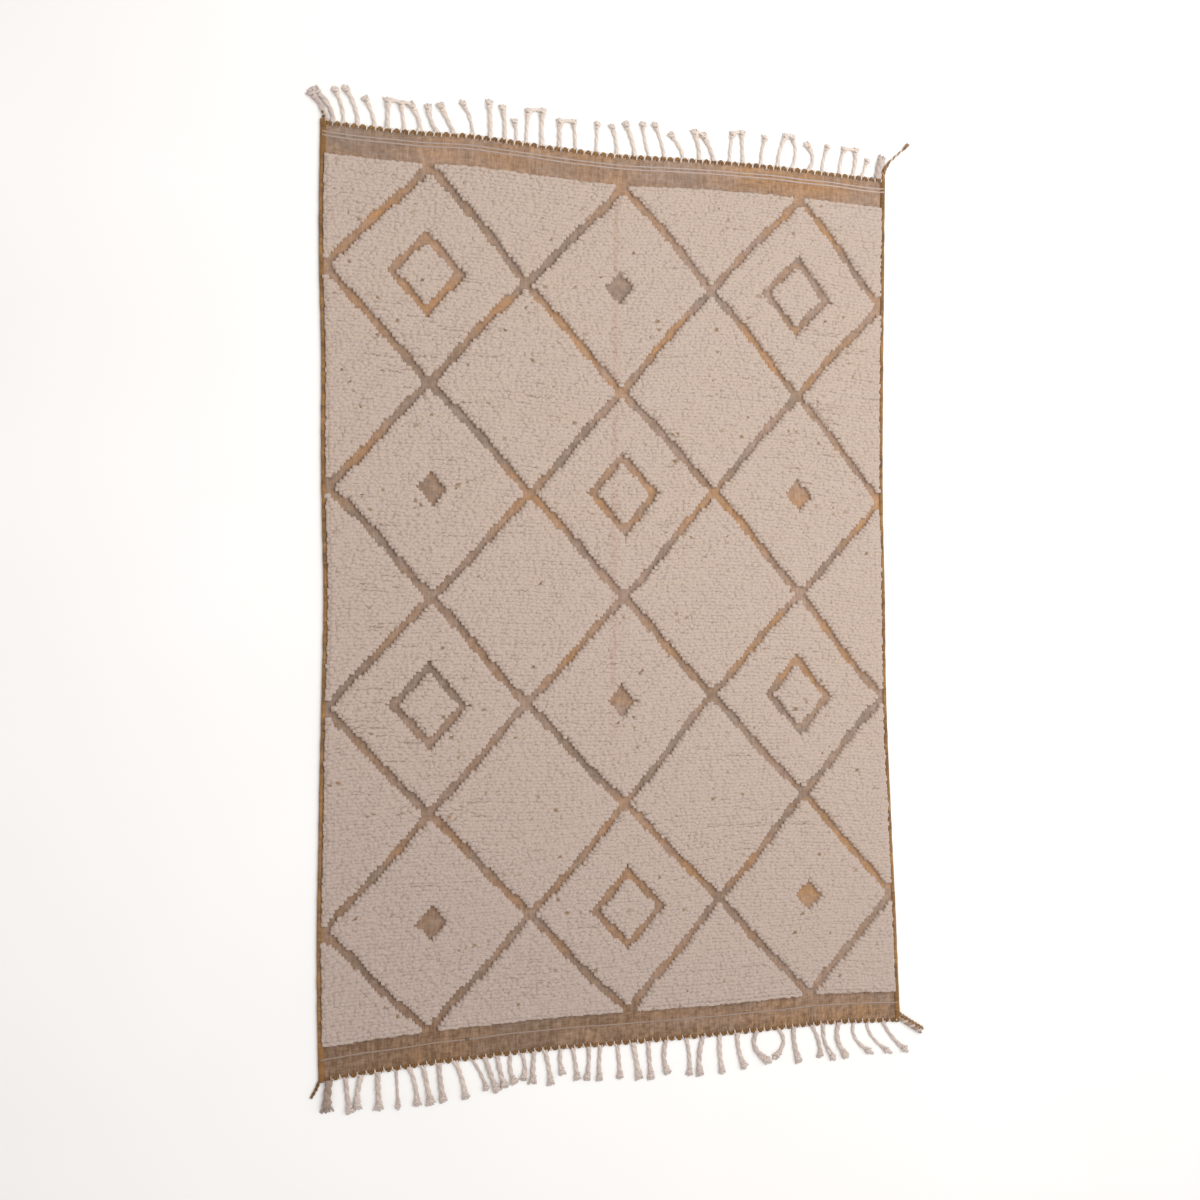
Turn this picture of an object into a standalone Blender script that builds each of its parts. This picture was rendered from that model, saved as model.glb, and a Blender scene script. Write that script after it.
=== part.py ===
"""A beni ourain rug lying flat, in metres, with +Z up and +Y along its length.

The cloth is one solid: a thin flat-woven ground with knotted pile standing on it in lozenge fields,
so the bare channels between them draw a lattice. Cords are overcast round both side edges and end
in loose tails. At each end the warps are twined into a narrow strip with a scalloped rim and then
tied into tassels, whose roots are fused into the strip.
"""

import math

import bmesh
import bpy
import numpy as np

MM = 0.001

# Heights of the cloth above the floor, and the gap kept between two pieces
GROUND_HIGH = 5.0
PILE_HIGH = 15.0
PILE_ROOT = 1.6
PILE_ROUND = 2.4
GAP = 0.3

# Side cords, with the cross-section as parts of their width
SIDE_CORD_WIDE = 10.0
SIDE_CORD_SECTION = ((0.5, 0.0), (0.5, 0.4), (0.3, 0.75), (-0.3, 0.75), (-0.5, 0.4), (-0.5, 0.0))

# End strips: their depth, their heights, and one scallop for each pair of twined warp bundles,
# drawn from its right end as parts of its pitch and the dip there
STRIP_DEEP = 14.0
STRIP_LOW = 0.8
STRIP_HIGH = 5.0
SCALLOPS = 74
SCALLOP_DEEP = 5.5
SCALLOP = ((1.0, SCALLOP_DEEP), (0.8, 1.1), (0.5, 0.0), (0.2, 1.1))

# Tassels: the cord, its root in the strip, and the knot and cut ends along it, as parts of its width
TASSEL_WIDE = 10.0
TASSEL_ROOT = 8.0
TASSEL_SECTION = ((0.5, 0.0), (0.34, 0.74), (-0.34, 0.74), (-0.5, 0.0))
KNOT_BULGES = ((-0.9, 1.0), (-0.45, 1.85), (0.35, 1.95), (0.8, 1.1), (1.3, 1.4))

# Lozenge lattice of the pile: pitch across and along, its repeats, and the bare channels
LOZENGE_PITCH = (523.0, 555.0)
LOZENGES_ACROSS = 3
LOZENGES_ALONG = 4
CHANNEL = 26.0
END_BAND = 90.0
RING_SIZE = 0.42
EYE_SIZE = 0.17
RIM_STEP = 62.0
RIM_BITE = 2.5
PILE_INSET = 1.2
FIELD_LIMITS = (LOZENGES_ACROSS * LOZENGE_PITCH[0] / 2, LOZENGES_ALONG * LOZENGE_PITCH[1] / 2)

# How far the woven lines wander across and along, the length of a wave, and a finer wave on both
WANDER_ACROSS = 6.0
WANDER_ALONG = 7.0
WANDER_FINE = 3.0
WAVE_ACROSS = 150.0
WAVE_ALONG = 190.0
WAVE_FINE = 77.0
STEADY_RIM = 60.0

# Where the outlines' corners lie: the ends' height, their number, and steps along edges and tassels
END_LINE = 1190.0
END_CORNERS = 17
SIDE_STEPS = np.linspace(-1100, 1100, 23)
CORD_STEPS = (0.0, 0.3, 0.6)

# Faces that meet at less than this angle are one flat face
FLAT_ANGLE = math.radians(0.1)

# The whole rug's middle, measured from the cloth's middle, where every place below starts
MIDDLE = (31.0, 6.0)

# Outer edges of the side cords: place along, left edge, right edge
SIDES = (
    (-1200, -815, 820),
    (-900, -817, 810),
    (-600, -811, 798),
    (-300, -803, 788),
    (0, -795, 787),
    (300, -799, 784),
    (600, -797, 789),
    (900, -801, 796),
    (1200, -796, 803),
)

# Outer edges of the end strips: place across, bottom edge, top edge
ENDS = (
    (-800, -1199, 1202),
    (-600, -1191, 1199),
    (-400, -1187, 1205),
    (-200, -1187, 1198),
    (0, -1194, 1195),
    (200, -1199, 1204),
    (400, -1202, 1209),
    (600, -1204, 1208),
    (800, -1218, 1204),
)

# Top tassels: root across, sideways shift of the knee and of the knot, and the knot's reach
TOP_TASSELS = (
    (-779, -13, -39, 60), (-761, -14, -35, 82), (-738, -4, -18, 80), (-702, -7, -28, 88),
    (-660, -6, -20, 66), (-628, 1, 2, 68), (-584, -6, -14, 66), (-545, -9, -18, 58),
    (-502, -14, -20, 54), (-457, -15, -30, 62), (-407, -5, -22, 76), (-360, 0, -2, 84),
    (-321, 0, -4, 76), (-290, 0, -3, 44), (-263, 2, 6, 80), (-220, -1, 2, 86),
    (-172, 0, -4, 68), (-128, -2, -10, 70), (-70, 2, 4, 72), (-12, -2, -14, 70),
    (40, -8, -22, 80), (80, -10, -16, 82), (125, -10, -28, 86), (180, -12, -34, 62),
    (228, -5, -20, 76), (270, -16, -32, 66), (318, 3, 9, 74), (358, -1, -3, 84),
    (413, 3, 12, 82), (465, 6, 20, 88), (508, 12, 6, 88), (560, 14, 0, 78),
    (603, 5, 14, 74), (657, 5, 16, 76), (700, 8, 10, 74), (730, 8, 18, 46),
    (768, 4, 8, 58),
)

# Bottom tassels, in the same columns
BOTTOM_TASSELS = (
    (-790, -8, -12, 62), (-748, 3, 8, 74), (-710, -8, -10, 66), (-668, 0, 2, 76),
    (-622, 2, 4, 84), (-588, 13, 18, 82), (-553, 8, 16, 84), (-513, 3, 9, 82),
    (-470, 15, 24, 82), (-426, 20, 34, 70), (-392, 12, 26, 76), (-360, 6, 15, 68),
    (-325, -2, 6, 62), (-294, 6, 5, 56), (-262, -3, -4, 66), (-232, 8, 14, 76),
    (-190, -2, 2, 54), (-156, 5, 10, 70), (-113, 0, -4, 72), (-80, -4, -4, 76),
    (-33, 4, 6, 76), (12, 7, 14, 80), (55, 2, 6, 84), (105, -6, 0, 74),
    (165, 7, 8, 84), (212, -10, -10, 86), (262, 0, 5, 88), (315, 3, 16, 82),
    (372, 2, 22, 76), (440, 11, 0, 66), (485, 2, 12, 82), (543, 17, 24, 76),
    (578, 3, 24, 86), (625, -4, 16, 82), (673, 3, 40, 78), (715, 16, 58, 80),
    (768, 24, 62, 78),
)

# Loose tails of the side cords, from the cloth's corner outwards: across, along, width
TAIL_BOTTOM_LEFT = ((-820, -1214, 8.5), (-834, -1235, 7.5))
TAIL_TOP_RIGHT = ((805, 1226, 12.0), (818, 1252, 10.0), (846, 1276, 5.5), (888, 1318, 4.5))
TAIL_BOTTOM_RIGHT = ((832, -1216, 17.0), (862, -1233, 18.0), (894, -1252, 20.0))


def smooth(table, column, at):
    """Reads one column of a table at a place in its first column, along a smooth curve."""
    rows = np.array(table, dtype=float)
    known, values = rows[:, 0], rows[:, column]
    slopes = np.gradient(values, known)
    at = np.clip(at, known[0], known[-1])
    k = min(max(int(np.searchsorted(known, at)) - 1, 0), len(known) - 2)
    span = known[k + 1] - known[k]
    t = (at - known[k]) / span
    eased = t * t * (3 - 2 * t)
    lean = slopes[k] * (1 - t) - slopes[k + 1] * t
    return float(values[k] * (1 - eased) + values[k + 1] * eased + span * t * (1 - t) * lean)


def left_edge(y):
    return smooth(SIDES, 1, y)


def right_edge(y):
    return smooth(SIDES, 2, y)


def bottom_edge(x):
    return smooth(ENDS, 1, x)


def top_edge(x):
    return smooth(ENDS, 2, x)


def across(part, y, inset):
    """The place that lies a part, from 0 to 1, of the way across the rug, between inset sides."""
    left = left_edge(y) + inset
    return left + part * (right_edge(y) - inset - left)


def linear(red, green, blue):
    """A colour of the photo, from 0 to 255, as the shader's linear values."""
    return tuple(((value / 255 + 0.055) / 1.055) ** 2.4 for value in (red, green, blue))


def material(name, colour, roughness):
    made = bpy.data.materials.new(name)
    made.use_nodes = True
    shader = made.node_tree.nodes["Principled BSDF"]
    shader.inputs["Base Color"].default_value = (*colour, 1.0)
    shader.inputs["Roughness"].default_value = roughness
    shader.inputs["Metallic"].default_value = 0.0
    return made


def draw(curve, loops, closed):
    """Adds straight-sided splines to a curve. A point is (x, y), or (x, y, width) for a cord."""
    for loop in loops:
        spline = curve.splines.new("POLY")
        spline.points.add(len(loop) - 1)
        spline.use_cyclic_u = closed
        for point, (x, y, *wide) in zip(spline.points, loop):
            point.co = (x * MM, y * MM, 0.0, 1.0)
            point.radius = wide[0] if wide else 1.0


def meshed(curve):
    """Turns a curve into a mesh object with its caps welded on, and removes the curve."""
    drawn = bpy.data.objects.new("drawn", curve)
    bpy.context.scene.collection.objects.link(drawn)
    graph = bpy.context.evaluated_depsgraph_get()
    mesh = bpy.data.meshes.new_from_object(drawn.evaluated_get(graph))
    bpy.data.objects.remove(drawn)
    body = bmesh.new()
    body.from_mesh(mesh)
    bmesh.ops.remove_doubles(body, verts=body.verts, dist=1e-6)
    bmesh.ops.recalc_face_normals(body, faces=body.faces)
    bmesh.ops.dissolve_limit(
        body, angle_limit=FLAT_ANGLE, verts=body.verts, edges=body.edges, use_dissolve_boundaries=False
    )
    body.to_mesh(mesh)
    body.free()
    made = bpy.data.objects.new(curve.name, mesh)
    bpy.data.curves.remove(curve)
    return made


def slab(name, loops, low, high, rounded=0.0):
    """Fills closed outlines and makes them thick between two heights. An inner loop is a hole."""
    curve = bpy.data.curves.new(name, "CURVE")
    curve.dimensions = "2D"
    curve.fill_mode = "BOTH"
    curve.extrude = ((high - low) / 2 - rounded) * MM
    curve.bevel_depth = rounded * MM
    curve.bevel_resolution = 0
    curve.offset = -rounded * MM
    draw(curve, loops, closed=True)
    made = meshed(curve)
    made.location.z = (high + low) / 2 * MM
    return made


def cords(name, paths, section):
    """Cords that lie on the floor along paths of (x, y, width), with a flat base."""
    profile = bpy.data.curves.new(name + "_section", "CURVE")
    profile.dimensions = "2D"
    draw(profile, [section], closed=True)
    shape = bpy.data.objects.new(name + "_section", profile)
    bpy.context.scene.collection.objects.link(shape)
    curve = bpy.data.curves.new(name, "CURVE")
    curve.dimensions = "3D"
    curve.twist_mode = "Z_UP"
    curve.bevel_mode = "OBJECT"
    curve.bevel_object = shape
    curve.use_fill_caps = True
    draw(curve, paths, closed=False)
    made = meshed(curve)
    bpy.data.objects.remove(shape)
    bpy.data.curves.remove(profile)
    return made


def rug_part(thing, finish):
    """Puts a piece in the rug's collection, placed from the rug's middle, and gives it its finish."""
    RUG.objects.link(thing)
    thing.parent = ORIGIN
    thing.data.materials.clear()
    thing.data.materials.append(finish)
    thing.data.shade_smooth()
    thing.data.set_sharp_from_angle(angle=math.radians(35))


def join(body, other):
    """Unites a body with another one, which stays as the Boolean's hidden second half."""
    JOINED.objects.link(other)
    other.parent = ORIGIN
    other.display_type = "WIRE"
    other.hide_render = True
    union = body.modifiers.new("join", "BOOLEAN")
    union.operation = "UNION"
    union.solver = "EXACT"
    union.object = other


def lozenge(middle, size):
    """A lozenge of the lattice, as corners on a straight cloth, cut off where the pile ends."""
    half_wide, half_long = (pitch / 2 * size for pitch in LOZENGE_PITCH)
    x, y = middle
    corners = [(x + half_wide, y), (x, y + half_long), (x - half_wide, y), (x, y - half_long)]
    for axis, limit in enumerate(FIELD_LIMITS):
        for sign in (-1, 1):
            kept = []
            for near, far in zip(corners, corners[1:] + corners[:1]):
                near_in = sign * near[axis] <= limit
                if near_in:
                    kept.append(near)
                if near_in != (sign * far[axis] <= limit):
                    t = (sign * limit - near[axis]) / (far[axis] - near[axis])
                    kept.append(tuple(a + t * (b - a) for a, b in zip(near, far)))
            corners = kept
    return corners


def woven(u, v):
    """Moves a place on a straight cloth to the real one, whose lines wander and edges wave."""
    to_rim = min(FIELD_LIMITS[0] - abs(u), FIELD_LIMITS[1] - abs(v))
    free = min(1.0, to_rim / STEADY_RIM)
    shift_u = WANDER_ACROSS * math.sin(v / WAVE_ACROSS) + WANDER_FINE * math.sin((u + v) / WAVE_FINE)
    shift_v = WANDER_ALONG * math.sin(u / WAVE_ALONG) + WANDER_FINE * math.sin((u - v) / WAVE_FINE)
    u += free * shift_u
    v += free * shift_v
    along = (v / FIELD_LIMITS[1] + 1) / 2
    low = bottom_edge(u) + END_BAND
    y = low + along * (top_edge(u) - END_BAND - low)
    x = across((u / FIELD_LIMITS[0] + 1) / 2, y, SIDE_CORD_WIDE + GAP + PILE_INSET)
    return x, y


def rim(corners):
    """The edge of a pile field: short steps between the corners, every second one bitten in."""
    middle = np.mean(corners, axis=0)
    points = []
    for start, end in zip(corners, corners[1:] + corners[:1]):
        steps = max(1, round(math.dist(start, end) / RIM_STEP))
        for k in range(steps):
            place = np.array(start) + (np.array(end) - np.array(start)) * k / steps
            if k % 2:
                inward = middle - place
                place += inward / np.linalg.norm(inward) * RIM_BITE
            points.append(woven(*place))
    return points


def pile_fields():
    """One list of loops for each pile field: its rim first, and then the rim of its hole."""
    inset = CHANNEL * math.hypot(1 / LOZENGE_PITCH[0], 1 / LOZENGE_PITCH[1])
    fields = []
    for i in range(-LOZENGES_ACROSS, LOZENGES_ACROSS + 1):
        for j in range(-LOZENGES_ALONG, LOZENGES_ALONG + 1):
            if (i + j) % 2 == 0:
                continue
            middle = (i * LOZENGE_PITCH[0] / 2, j * LOZENGE_PITCH[1] / 2)
            field = [rim(lozenge(middle, 1 - inset))]
            fields.append(field)
            if i % 2:
                continue
            if (i + j) % 4 == 1:
                field.append(rim(lozenge(middle, RING_SIZE)))
                fields.append([rim(lozenge(middle, RING_SIZE - 2 * inset))])
            else:
                field.append(rim(lozenge(middle, EYE_SIZE)))
    return fields


def side_places(part):
    """Places along a side where the cloth and its side cord share their edge's corners."""
    low = bottom_edge(across(part, -END_LINE, 0)) + STRIP_DEEP
    high = top_edge(across(part, END_LINE, 0)) - STRIP_DEEP
    return [low, *SIDE_STEPS, high]


def end_places(outward):
    """Places across where the cloth and an end strip share their edge's corners."""
    parts = np.linspace(0, 1, END_CORNERS)
    return [across(part, outward * END_LINE, SIDE_CORD_WIDE + GAP) for part in parts]


def cloth():
    """The ground, with every pile field raised from it."""
    outline = [(x, bottom_edge(x) + STRIP_DEEP) for x in end_places(-1)]
    outline += [(across(1, y, SIDE_CORD_WIDE + GAP), y) for y in SIDE_STEPS]
    outline += [(x, top_edge(x) - STRIP_DEEP) for x in reversed(end_places(1))]
    outline += [(across(0, y, SIDE_CORD_WIDE + GAP), y) for y in reversed(SIDE_STEPS)]
    ground = slab("rug_cloth", [outline], 0.0, GROUND_HIGH)
    gathered = bmesh.new()
    for loops in pile_fields():
        field = slab("field", loops, PILE_ROOT, PILE_HIGH, PILE_ROUND)
        gathered.from_mesh(field.data)
        height = field.location.z
        bpy.data.objects.remove(field)
    pile = bpy.data.objects.new("pile", bpy.data.meshes.new("pile"))
    gathered.to_mesh(pile.data)
    gathered.free()
    pile.location.z = height
    rug_part(ground, material("pile_wool", linear(206, 190, 172), 0.95))
    join(ground, pile)


def side_cord(name, part, bottom_tail, top_tail):
    """The yarn overcast round one side edge as a cord, with its loose tails."""
    inset = SIDE_CORD_WIDE / 2
    places = side_places(part)
    places = [places[0] - STRIP_DEEP, *places, places[-1] + STRIP_DEEP]
    path = [(across(part, y, inset), y, SIDE_CORD_WIDE) for y in places]
    path = [*reversed(bottom_tail), *path, *top_tail]
    finish = material(name + "_wool", linear(122, 88, 52), 0.9)
    rug_part(cords(name, [path], SIDE_CORD_SECTION), finish)


def tassel(root, knee, shift, reach, edge, outward):
    """The path of one tassel: from inside the strip, through its knee, to the knot and past it."""
    start = edge(root)
    curve = 2 * shift - 4 * knee
    slope = 4 * knee - shift
    path = [(root, start - outward * TASSEL_ROOT, TASSEL_WIDE)]
    for t in CORD_STEPS:
        path.append((root + slope * t + curve * t * t, start + outward * reach * t, TASSEL_WIDE))
    aim = np.array((slope + 2 * curve, outward * reach))
    aim = aim * TASSEL_WIDE / np.linalg.norm(aim)
    for along, wide in KNOT_BULGES:
        x, y = np.array((root + shift, start + outward * reach)) + along * aim
        path.append((x, y, wide * TASSEL_WIDE))
    return path


def fringe(name, edge, outward, tassels):
    """One end's twined strip, scalloped along its outer edge, with its tassels grown out of it."""
    places = end_places(outward)
    outline = [(x, edge(x) - outward * (STRIP_DEEP - GAP)) for x in places]
    for k in reversed(range(SCALLOPS)):
        for part, dip in SCALLOP:
            x = places[0] + (places[-1] - places[0]) * (k + part) / SCALLOPS
            outline.append((x, edge(x) - outward * dip))
    outline.append((places[0], edge(places[0]) - outward * SCALLOP_DEEP))
    strip = slab(name, [outline], STRIP_LOW, STRIP_HIGH)
    paths = [tassel(*row, edge, outward) for row in tassels]
    rug_part(strip, material(name + "_wool", linear(214, 200, 190), 0.9))
    join(strip, cords(name + "_tassels", paths, TASSEL_SECTION))


for old in list(bpy.data.objects):
    bpy.data.objects.remove(old)
RUG = bpy.data.collections.new("beni_ourain_rug")
JOINED = bpy.data.collections.new("joined_halves")
for home in (RUG, JOINED):
    bpy.context.scene.collection.children.link(home)
ORIGIN = bpy.data.objects.new("rug_middle", None)
ORIGIN.location = (-MIDDLE[0] * MM, -MIDDLE[1] * MM, 0.0)
RUG.objects.link(ORIGIN)

cloth()
side_cord("selvedge_left", 0, TAIL_BOTTOM_LEFT, ())
side_cord("selvedge_right", 1, TAIL_BOTTOM_RIGHT, TAIL_TOP_RIGHT)
fringe("fringe_top", top_edge, 1, TOP_TASSELS)
fringe("fringe_bottom", bottom_edge, -1, BOTTOM_TASSELS)
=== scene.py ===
# %% [markdown]
# # A hand-knotted wool rug with tasselled ends
#
# The rug is a thin flat-woven ground with short cream pile knotted into it. The pile stands in lozenge
# fields, and the bare channels between them show the ochre-brown ground as a lattice. Both sides are
# overcast with dark yarn, and at both ends the warps are twined and tied into tassels.
#
# The imported model is loaded first. It fixes where every piece lies, so nothing here is fitted by eye.
# The dressed rug may stand out of it only by as much as wool does.

# %% Load the imported rug
import math

import bpy
import numpy as np
from mathutils import Matrix, Vector


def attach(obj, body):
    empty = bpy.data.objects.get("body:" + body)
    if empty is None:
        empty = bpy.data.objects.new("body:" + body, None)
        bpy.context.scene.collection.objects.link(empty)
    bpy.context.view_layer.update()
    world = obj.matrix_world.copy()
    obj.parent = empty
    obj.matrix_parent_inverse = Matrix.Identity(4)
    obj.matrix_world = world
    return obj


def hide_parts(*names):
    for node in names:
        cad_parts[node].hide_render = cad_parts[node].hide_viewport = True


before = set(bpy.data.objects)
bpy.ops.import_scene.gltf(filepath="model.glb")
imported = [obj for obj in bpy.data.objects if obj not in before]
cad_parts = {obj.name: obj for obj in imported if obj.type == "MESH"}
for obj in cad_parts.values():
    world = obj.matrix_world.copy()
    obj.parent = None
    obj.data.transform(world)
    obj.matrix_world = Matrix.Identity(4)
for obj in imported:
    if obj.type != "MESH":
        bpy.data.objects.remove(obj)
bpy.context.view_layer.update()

print("packed nodes:", sorted(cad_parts))

# %% [markdown]
# ## The weaver's measures
#
# A rug is planned in millimetres on straight paper and comes off the loom a little crooked. These are
# the plan's measures and the two tables that make it crooked: where the sides and the ends really lie.
# They are the same values that the solids were made from. Places are measured from the cloth's middle,
# and MIDDLE moves them to the middle of the whole rug with its tassels and tails. The pile is three
# lozenges wide and four long, and half of that is HALF_PILE.

# %% Measures of the cloth, in millimetres
MM = 0.001
MIDDLE = np.array((31.0, 6.0, 0.0))
GROUND_HIGH = 5.0
SIDE_CORD_WIDE = 10.0
SCALLOPS = 74
END_LINE = 1190.0
HALF_LONG = 1200.0
CLOTH_WIDE = 1600.0
LOZENGE = np.array((523.0, 555.0))
HALF_PILE = LOZENGE * (3, 4) / 2
END_BAND = 90.0
CHANNEL = 26.0
RING_SIZE = 0.42
EYE_SIZE = 0.17
PILE_INSET = 1.2
GAP = 0.3

SIDES = np.array([
    (-1200, -815, 820), (-900, -817, 810), (-600, -811, 798), (-300, -803, 788), (0, -795, 787),
    (300, -799, 784), (600, -797, 789), (900, -801, 796), (1200, -796, 803),
], dtype=float)
ENDS = np.array([
    (-800, -1199, 1202), (-600, -1191, 1199), (-400, -1187, 1205), (-200, -1187, 1198), (0, -1194, 1195),
    (200, -1199, 1204), (400, -1202, 1209), (600, -1204, 1208), (800, -1218, 1204),
], dtype=float)


def smooth(table, column, at):
    """Reads a column of a table at places in its first column, along a smooth curve."""
    known, values = table[:, 0], table[:, column]
    slopes = np.gradient(values, known)
    at = np.clip(at, known[0], known[-1])
    k = np.clip(np.searchsorted(known, at) - 1, 0, len(known) - 2)
    span = known[k + 1] - known[k]
    t = (at - known[k]) / span
    eased = t * t * (3 - 2 * t)
    lean = slopes[k] * (1 - t) - slopes[k + 1] * t
    return values[k] * (1 - eased) + values[k + 1] * eased + span * t * (1 - t) * lean


def edge(outward, x):
    """The outer line of the top end (1) or the bottom end (-1) of the cloth."""
    return smooth(ENDS, 2 if outward > 0 else 1, x)


def across(part, y, inset):
    """The place a part, from 0 to 1, of the way across the rug, between its inset sides."""
    left = smooth(SIDES, 1, y) + inset
    return left + part * (smooth(SIDES, 2, y) - inset - left)


print("cloth at the middle, mm:", round(float(across(1, 0, 0) - across(0, 0, 0))),
      "by", round(float(edge(1, 0) - edge(-1, 0))))

# %% [markdown]
# ## The camera
#
# The photograph looks down on the rug from its left, so the left side is nearer and looks longer. A
# pinhole camera was fitted to the cloth's four corners. Its three turns and its place are given as
# numbers, because an aimed camera would need an extra empty and could still roll.

# %% Set the camera
LENS = 38.7
SENSOR = 36.0
CAMERA_TURNS = (("Y", 17.88464578), ("X", -0.70458387), ("Z", 0.50099826))
CAMERA_PLACE = (-1.1271, -0.0486, 3.2766)

seen_from = Matrix.Identity(3)
for axis, degrees in CAMERA_TURNS:
    seen_from = Matrix.Rotation(math.radians(degrees), 3, axis) @ seen_from
lens = bpy.data.cameras.new("camera")
lens.lens = LENS
lens.sensor_width = SENSOR
camera = bpy.data.objects.new("camera", lens)
bpy.context.scene.collection.objects.link(camera)
camera_place = Vector(CAMERA_PLACE) - Vector(MIDDLE * MM)
camera.matrix_world = Matrix.LocRotScale(camera_place, seen_from.transposed(), None)
bpy.context.scene.camera = camera
print("camera stands", round(camera.location.z, 3), "m above the floor")

# %% [markdown]
# ## Shader maths as expressions
#
# A material is a sum: so much cream, less where the wool is dusty, more in one dye lot. Written with
# nodes alone such a sum is hard to read. This small class wraps an output socket, so that plain Python
# operators add the Math nodes. Every other node comes from its method node, which sets the node's
# settings first, because they decide which sockets it has.

# %% A socket that understands arithmetic
class Shade:
    """An output socket of a material's nodes."""

    def __init__(self, tree, socket=None):
        self.tree = tree
        self.socket = socket

    def node(self, kind, settings=None, inputs=None, output=0):
        made = self.tree.nodes.new("ShaderNode" + kind)
        for name, value in (settings or {}).items():
            setattr(made, name, value)
        for name, value in (inputs or {}).items():
            if isinstance(value, Shade):
                self.tree.links.new(value.socket, made.inputs[name])
            else:
                made.inputs[name].default_value = value
        return Shade(self.tree, made.outputs[output] if made.outputs else None)

    def maths(self, operation, *values):
        return self.node("Math", {"operation": operation}, dict(enumerate(values)))

    def __add__(self, other):
        return self.maths("ADD", self, other)

    def __sub__(self, other):
        return self.maths("SUBTRACT", self, other)

    def __mul__(self, other):
        return self.maths("MULTIPLY", self, other)

    def __rsub__(self, other):
        return self.maths("SUBTRACT", other, self)

    __radd__ = __add__
    __rmul__ = __mul__


def dye(red, green, blue):
    """A colour from 0 to 255, as a shader takes it."""
    return tuple(((value / 255 + 0.055) / 1.055) ** 2.4 for value in (red, green, blue)) + (1.0,)


print("half grey as a dye:", [round(value, 3) for value in dye(128, 128, 128)])

# %% [markdown]
# ## What every wool has
#
# Wool is rough, with a soft sheen at grazing angles, and its tone wanders: along a yarn, from one
# row to the next and over the whole cloth. Noise that is stretched along one direction gives all of
# these, because spun and woven things vary mostly along their threads. The noise reads the place on
# the rug itself, so two pieces that meet agree on their tone.

# %% Helpers for the wools
SPOTS_UPWARD = 150.0


def place_on_rug(start):
    return start.node("TexCoord", output="Object")


def streaks(place, across_rug, along_rug, detail=2.0, seed=0.0):
    """Noise with so many spots in a metre across and along the rug, spread out from 0 to 1."""
    spots = (across_rug, along_rug, SPOTS_UPWARD)
    stretched = place.node("VectorMath", {"operation": "MULTIPLY"}, {0: place, 1: spots})
    moved = place.node("VectorMath", {"operation": "ADD"}, {0: stretched, 1: (seed, seed, seed)})
    inputs = {"Vector": moved, "Scale": 1.0, "Detail": detail}
    return between(place.node("TexNoise", {"noise_dimensions": "3D"}, inputs), 0.32, 0.68)


def between(value, low, high):
    """0 at low, 1 at high and an even slope between them. The low end may be the larger number."""
    return value.node("MapRange", {"clamp": True}, {"Value": value, "From Min": low, "From Max": high})


def blend(mask, first, second):
    """The first colour where the mask is 0, the second where it is 1."""
    return mask.node("Mix", {"data_type": "RGBA"}, {0: mask, 6: first, 7: second}, output=2)


def value_of(start, name):
    """A number that the mesh keeps at each of its points."""
    return start.node("Attribute", {"attribute_name": name}, output="Fac")


def wool(name, paint, sheen):
    """A material whose paint function gives its colour, its roughness, a height and its depth in metres."""
    made = bpy.data.materials.new(name)
    made.use_nodes = True
    tree = made.node_tree
    tree.nodes.clear()
    start = Shade(tree)
    colour, roughness, height, depth = paint(start)
    bump = start.node("Bump", None, {"Strength": 1.0, "Distance": depth, "Height": height})
    shader = start.node("BsdfPrincipled", None, {
        "Base Color": colour, "Roughness": roughness, "Normal": bump,
        "Specular IOR Level": 0.25, "Sheen Weight": sheen, "Sheen Roughness": 0.5,
    })
    start.node("OutputMaterial", None, {"Surface": shader})
    print(name, "has", len(tree.nodes), "nodes")
    return made


# %% [markdown]
# ## The cream pile wool
#
# The pile is undyed cream wool. Each knot was cut from another bit of yarn, so the mesh gives each
# knot its own tone. A few knots hold a tan or a dark fleck of the natural fleece. Rows from one ball
# of yarn make faint bands across the rug. The roots are painted darker than the tips, as painted shade
# deep in the pile, and fine spots of painted shade lie between the yarns. Towards the bottom left
# corner the cream is painted cooler and darker, as painted shade on that side of the rug. One broken
# line along the rug is a little pink. PINK_LINE says where it crosses the middle, in metres, and its slope.

# %% The pile's finish
CREAM = dye(201, 184, 170)
CREAM_IN_SHADE = dye(183, 164, 154)
CREAM_WARM = dye(206, 184, 162)
CREAM_DUSTY = dye(193, 175, 163)
CREAM_ROOT_IN_SHADE = dye(198, 178, 162)
CREAM_ROSY = dye(199, 177, 168)
CREAM_SHADED = dye(172, 151, 135)
CREAM_PINK = dye(186, 152, 136)
TAN_FLECK = dye(150, 120, 92)
DARK_FLECK = dye(106, 92, 82)
PINK_LINE = (-0.067, 0.018)


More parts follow.
